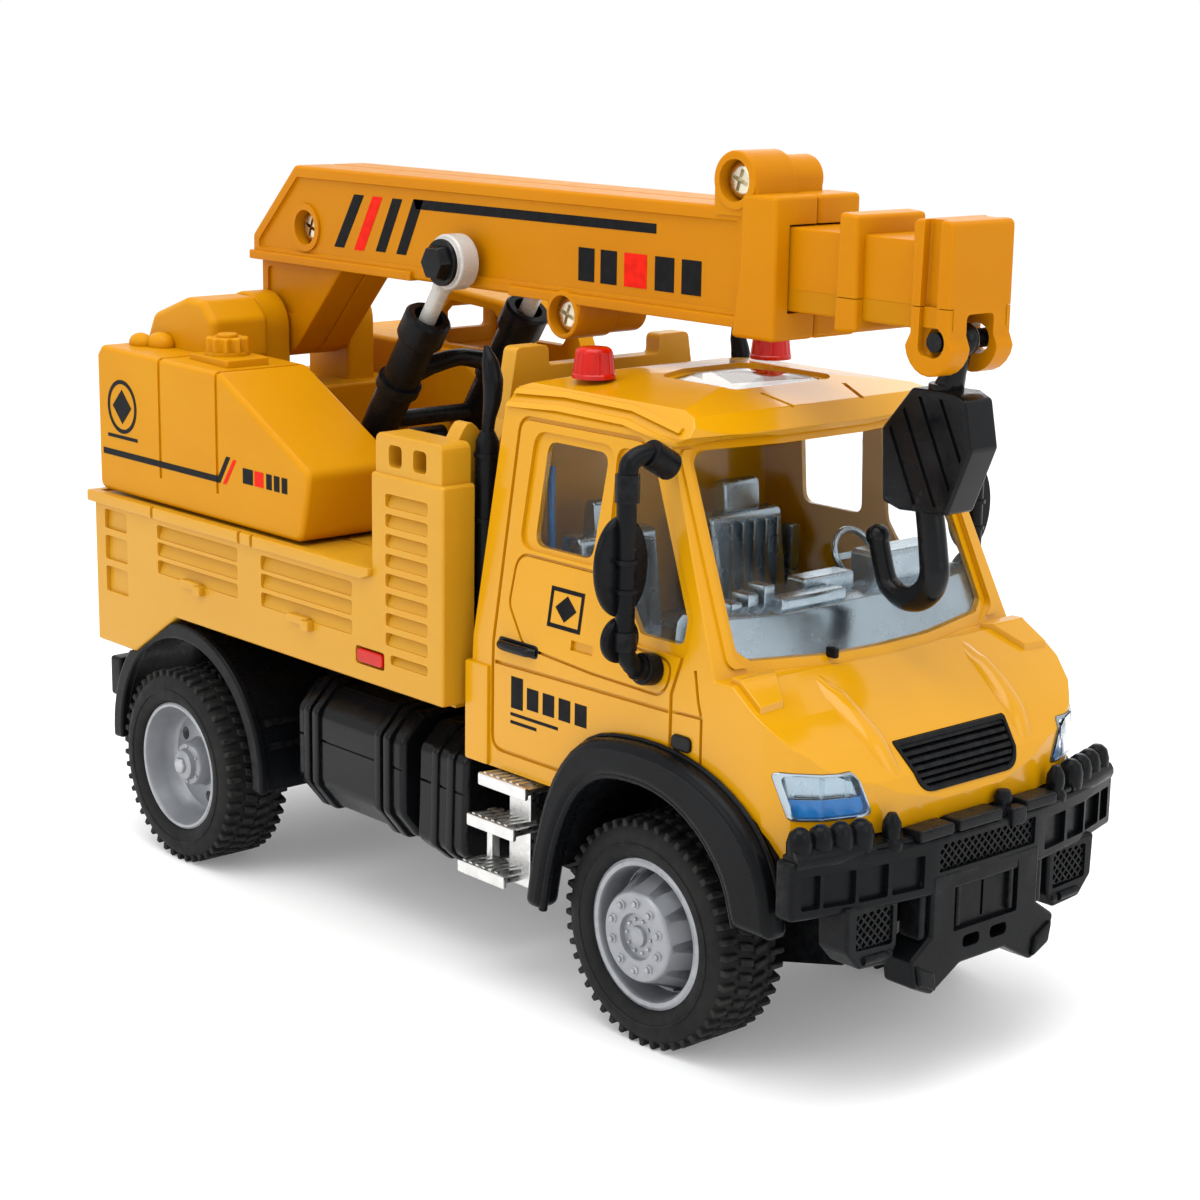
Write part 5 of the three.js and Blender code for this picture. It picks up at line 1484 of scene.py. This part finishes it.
def steps():
    """Three chromed treads with slanting ribs, on a ladder back."""
    parts = []
    for x, z in STEP_TREADS:
        parts.append(soft_block(x, x + 9, -27.8, -23.4, z, z + 0.95, 0.25))
        for k in range(6):
            rib_x = x + 0.7 + k * 1.25
            parts.append(prism([(rib_x, -27.6), (rib_x + 0.55, -27.6), (rib_x + 1.5, -23.6),
                                (rib_x + 0.95, -23.6)], "z", z + 0.9, z + 1.3))
        parts.append(soft_block(x - 0.1, x + 9.1, -27.95, -27.3, z - 0.5, z + 1.15, 0.25))
    parts += [soft_block(*corners, 0.3) for corners in (
        (-25.6, -21.4, -24.4, -22.9, 13.6, 28.2), (-29.8, -28.6, -24.6, -23.2, 14.2, 22.2),
        (-25.4, -22.4, -23.6, -12.3, 20, 22))]
    return [(joined(*parts), CHROME)]


def exhaust():
    """Silencer with four thin bands, a stepped collar and a curved tailpipe."""
    x, y = -33.9, -21.4
    low = tube([(x, y, 33.8), (x, y, 34.4), (x, y, 66.8), (x, y, 68.2), (x, y, 69.4)],
               [1.3, 1.55, 1.55, 1.45, 0.9], 24, straight=True)
    shield = [straight_bar((x, y, z), (x, y, z + 0.5), 1.72, 24) for z in (38, 48, 58, 66.2)]
    pipe = tube([(x, y, 68.6), (x + 0.3, y, 71.0), (x + 0.9, y, 73.4), (x + 1.0, y, 75.8),
                 (x + 0.4, y, 78.0), (x - 0.4, y, 79.9)], [0.75, 0.85, 1.15, 1.3, 1.05, 0.3], 20, 6)
    return [(joined(low, *shield, pipe), BLACK)]


BUMPER_PLAN = [(31, 0), (30.9, 9), (29.4, 19), (26.9, 28.1), (24.2, 28.1), (24.2, 24), (26, 8), (26, -8),
               (24.2, -24), (24.2, -28.1), (26.9, -28.1), (29.4, -19), (30.9, -9)]
MESH_PITCH = 1.15
MESH_WIRE = 0.32


def mesh_panel(y0, y1, z0, z1, x0, x1):
    """Diamond mesh: two sets of slanting wires inside a rectangle that faces forward."""
    wires_of = []
    height = z1 - z0
    for k in range(int((y1 - y0 + height) / MESH_PITCH) + 1):
        y = y0 - height + k * MESH_PITCH
        for lean in (0, 1):
            a, b = (y, y + height) if lean else (y + height, y)
            wire = [(a, z0), (a + MESH_WIRE, z0), (b + MESH_WIRE, z1), (b, z1)]
            wires_of.append(prism(wire, "x", x0, x1))
    return common(joined(*wires_of), block(x0 - 1, x1 + 1, y0, y1, z0, z1))


def bumper_beam():
    beam = soft_prism(BUMPER_PLAN, "z", 23.8, 30.6, 0.5, 3, 20)
    inner = prism(inset(BUMPER_PLAN, 0.75), "z", 15, 40)
    side_panels = [prism(rounded(rect(y0, 25.0, y1, 28.9), 0.3), "x", 22, 36)
                   for y0, y1 in ((-26.9, -24.6), (-24.2, -20.2), (-19.8, -15.8), (-15.2, -10.6))]
    middle = prism(rounded(rect(-8.4, 26.4, 8.4, 29.7), 0.3), "x", 22, 36)
    beam = cut(beam, cut(joined(both(*side_panels), middle), inner))
    mesh = mesh_panel(-8.4, 8.4, 26.4, 29.7, 29.8, 30.5)
    rail = soft_prism(inset(BUMPER_PLAN, 0.5), "z", 30.2, 31.2, 0.3, 2, 20)
    top = [soft_block(28.2, 31.1, y0, y1, 30.6, 32.0, 0.35)
           for y0, y1 in ((-12, -6.2), (-5.4, 2.2), (6.4, 12))]
    return joined(beam, mesh, rail, *top)


def bumper_lamps():
    """Clusters of four upright lobes with a turned nub beside each, and the tow pin with its arm."""
    parts = []
    for k in range(4):
        y = -18.4 - k * 2.55
        x = 28.0 - (abs(y) - 18) * 0.26
        parts.append(lathe([(0, 28.8), (1.0, 28.8), (1.2, 29.6), (1.5, 31.0), (1.52, 32.4), (1.2, 33.5),
                            (0.6, 34.0), (0, 34.05)], "z", (x, y), 18))
        parts.append(ball((x + 1.15, y, 30.0), 0.42, sides=8))
    parts.append(tube([(28.0, -17.2, 30.6), (27.4, -22, 30.6), (26.0, -27.4, 30.6)], 1.35, 14, 4))
    parts.append(lathe([(0, 30), (1.35, 30), (1.4, 30.8), (1.0, 31.4), (1.15, 32.2), (1.05, 33.2),
                        (0.5, 34.2), (0, 34.3)], "z", (28.8, -14.4), 20))
    tow = lathe([(0, 30), (1.2, 30), (1.3, 31), (0.95, 31.6), (1.15, 32.4), (0.8, 33.3), (0, 33.5)], "z",
                (29.2, 4.3), 18)
    tow_arm = soft_block(29.6, 31.4, 3.6, 6.2, 29.4, 31.6, 0.35)
    return joined(both(*parts), tow, tow_arm)


def skid_plate():
    outline = [(-8.8, 11.9), (-4, 14.6), (4, 14.6), (8.8, 11.9), (12.1, 13.4), (12.7, 16.8), (9.4, 19),
               (9.4, 26.2), (-9.4, 26.2), (-9.4, 19), (-12.7, 16.8), (-12.1, 13.4)]
    plate = soft_prism(outline, "x", 26.4, 31, 0.45, 3, 20)
    panel = prism(rounded(rect(-5.6, 18.8, 5.6, 25), 0.3), "x", 30.3, 34)
    ovals = [prism(rounded(rect(y - 1.5, 16.4, y + 1.5, 17.9), 0.7), "x", 28.5, 34)
             for y in (-2.4, 2.4)]
    slot = block(29.7, 34, -0.22, 0.22, 19.4, 24.2)
    plate = cut(plate, panel, *ovals, slot)
    frame_bars = [soft_block(30.2, 30.9, y - 0.35, y + 0.35, 19.2, 24.8, 0.15, 1) for y in (-4.6, 4.6)]
    toe = [(8.6, 12.4), (11.4, 13.7), (11.9, 16.2), (8.9, 14.6)]
    toes = both(soft_prism(toe, "x", 30.7, 31.5, 0.3))
    cheeks = both(soft_prism(rect(9.6, 18.6, 10.8, 25.8), "x", 27.2, 30.4, 0.35))
    return joined(plate, *frame_bars, toes, cheeks)


def lower_pods():
    """Fog lamp pods under the beam, each with a diamond mesh and a bar that ends in a knob."""
    outline = [(-21.8, 24.6), (-21.6, 19.4), (-19.4, 17.0), (-14.6, 16.6), (-13.2, 18.6), (-13.2, 24.6)]
    lamp = soft_prism(outline, "x", 24.8, 29.4, 0.45, 3, 20)
    panel = rounded([(-20.2, 19.4), (-14.2, 19.0), (-14.2, 23.6), (-20.2, 23.6)], 0.4)
    panel = prism(panel, "x", 28.8, 34)
    mesh = mesh_panel(-20.2, -14.2, 19.4, 23.6, 28.5, 29.15)
    bar = straight_bar((29.3, -18.9, 18.0), (29.4, -15.4, 17.9), 0.55, 12)
    knob = ball((29.2, -14.6, 17.9), 0.6, sides=10)
    return both(cut(lamp, panel), mesh, bar, knob)


def front_bumper():
    bracket = block(25.3, 27, -8, 8, 19, 29)
    return [(joined(bumper_beam(), bumper_lamps(), skid_plate(), lower_pods(), bracket), BLACK)]


def rear_bumper():
    beam = soft_prism(rect(-27.4, 19.4, 27.4, 25.4), "x", -115.4, -112.4, 0.5, 3)
    recess = both(*[prism(rounded(rect(y0, 20.6, y1, 24.2), 0.4), "x", -118, -114.9)
                    for y0, y1 in ((-26, -18.6), (-17.6, -10.6))])
    lamps = both(*[soften(disc("x", -115.5, -114.4, (y, 22.4), 1.25, 20), 0.2)
                   for y in (-24, -20.8, -15.8, -12.6)])
    hitch = joined(soft_block(-116.2, -112.6, -3.6, 3.6, 18.6, 25.8, 0.5, 3),
                   soften(disc("z", 25.6, 27.8, (-114.6, 0), 1.3, 20), 0.3))
    mount = block(-114, -112.3, -12, 12, 20, 33)
    return [(joined(cut(beam, recess), hitch, mount), BLACK), (lamps, RED)]


for label, make in (("front_fender", front_fender), ("rear_fender", rear_fender),
                    ("side_tank", side_tank), ("front_tank", front_tank), ("steps", steps),
                    ("exhaust_stack", exhaust)):
    pair(label, make, "truck")
piece("front_bumper", front_bumper(), "truck")
piece("rear_bumper", rear_bumper(), "truck")

# ---------------------------------------------------------------- carried-over nodes

CARRIED = {
    BLACK: ("chassis_frame", "pullback_motor_case", "battery_cover", "axle_gear", "slew_retainer",
            "turret_base_plate"),
    STEEL: ("front_axle", "rear_axle", "button_cells", "boom_pivot_pin"),
    SILVER: ("speaker",),
    BOARD: ("circuit_board",),
}
CARRIED_EDGE = 0.25
CARRIED_ANGLE = 35


def dress_carried_nodes():
    """Gives the CAD nodes that stay their materials and softened edges."""
    for material, names in CARRIED.items():
        for name in names:
            obj = frame["nodes"][name]
            obj.data.materials.clear()
            obj.data.materials.append(material)
            edges = obj.modifiers.new("edges", "BEVEL")
            edges.width = CARRIED_EDGE * MM
            edges.segments = 2
            edges.limit_method = "ANGLE"
            edges.angle_limit = math.radians(CARRIED_ANGLE)


dress_carried_nodes()

# ---------------------------------------------------------------- floor, light and camera

FLOOR_SIDE = 6.0
CAMERA_AT = Vector((207.502 * MM + AXLE_X, -218.336 * MM, 120.258 * MM))
CAMERA_AZIMUTH = 48.168
CAMERA_ELEVATION = 13.050
CAMERA_ROLL = 0.906
CAMERA_LENS = 76.26
AIM = Vector((0, 0, 0.05))


def plain_floor():
    bm = bmesh.new()
    half = FLOOR_SIDE / 2
    bm.faces.new([bm.verts.new((x, y, 0)) for x, y in rect(-half, -half, half, half)])
    floor = linked("floor", mesh_of(bm, "floor"))
    s = Surface("floor_sheet", (0.84, 0.84, 0.84), 0.7, 0.1)
    s.put("Emission Color", (1, 1, 1, 1))
    s.put("Emission Strength", 0.16)
    s.mottle(3, (0.83, 0.83, 0.835), 0.6).bump(900, 0.02, 0.15)
    floor.data.materials.append(s.material)


def area_light(name, at, size, watts):
    data = bpy.data.lights.new(name, "AREA")
    data.shape = "RECTANGLE"
    data.size, data.size_y = size
    data.energy = watts
    lamp = linked(name, data)
    lamp.location = at
    lamp.rotation_euler = (AIM - Vector(at)).to_track_quat("-Z", "Y").to_euler()


def studio():
    world = bpy.data.worlds.new("studio")
    world.use_nodes = True
    sky = world.node_tree.nodes["Background"].inputs
    sky["Color"].default_value = (1, 1, 1, 1)
    sky["Strength"].default_value = 1.0
    bpy.context.scene.world = world
    area_light("top_softbox", (0.05, -0.1, 0.62), (0.55, 0.55), 2.7)
    area_light("key_softbox", (-0.1, -0.62, 0.36), (0.4, 0.34), 0.8)
    area_light("front_softbox", (0.62, 0.05, 0.32), (0.34, 0.4), 0.6)
    area_light("back_softbox", (-0.35, 0.55, 0.4), (0.4, 0.3), 0.5)
    bpy.context.scene.view_settings.view_transform = "Standard"


def camera():
    data = bpy.data.cameras.new("camera")
    data.sensor_width = 36
    data.lens = CAMERA_LENS
    data.clip_start = 0.01
    obj = linked("camera", data)
    azimuth, elevation, roll = (math.radians(v) for v in (CAMERA_AZIMUTH, CAMERA_ELEVATION, CAMERA_ROLL))
    back = Vector((math.sin(azimuth) * math.cos(elevation), -math.cos(azimuth) * math.cos(elevation),
                   math.sin(elevation)))
    right = (-back).cross(Vector((0, 0, 1))).normalized()
    up = back.cross(right)
    turned_right = math.cos(roll) * right + math.sin(roll) * up
    turned_up = -math.sin(roll) * right + math.cos(roll) * up
    axes = Matrix((turned_right, turned_up, back)).transposed().to_4x4()
    obj.matrix_world = Matrix.Translation(CAMERA_AT) @ axes
    bpy.context.scene.camera = obj


plain_floor()
studio()
camera()
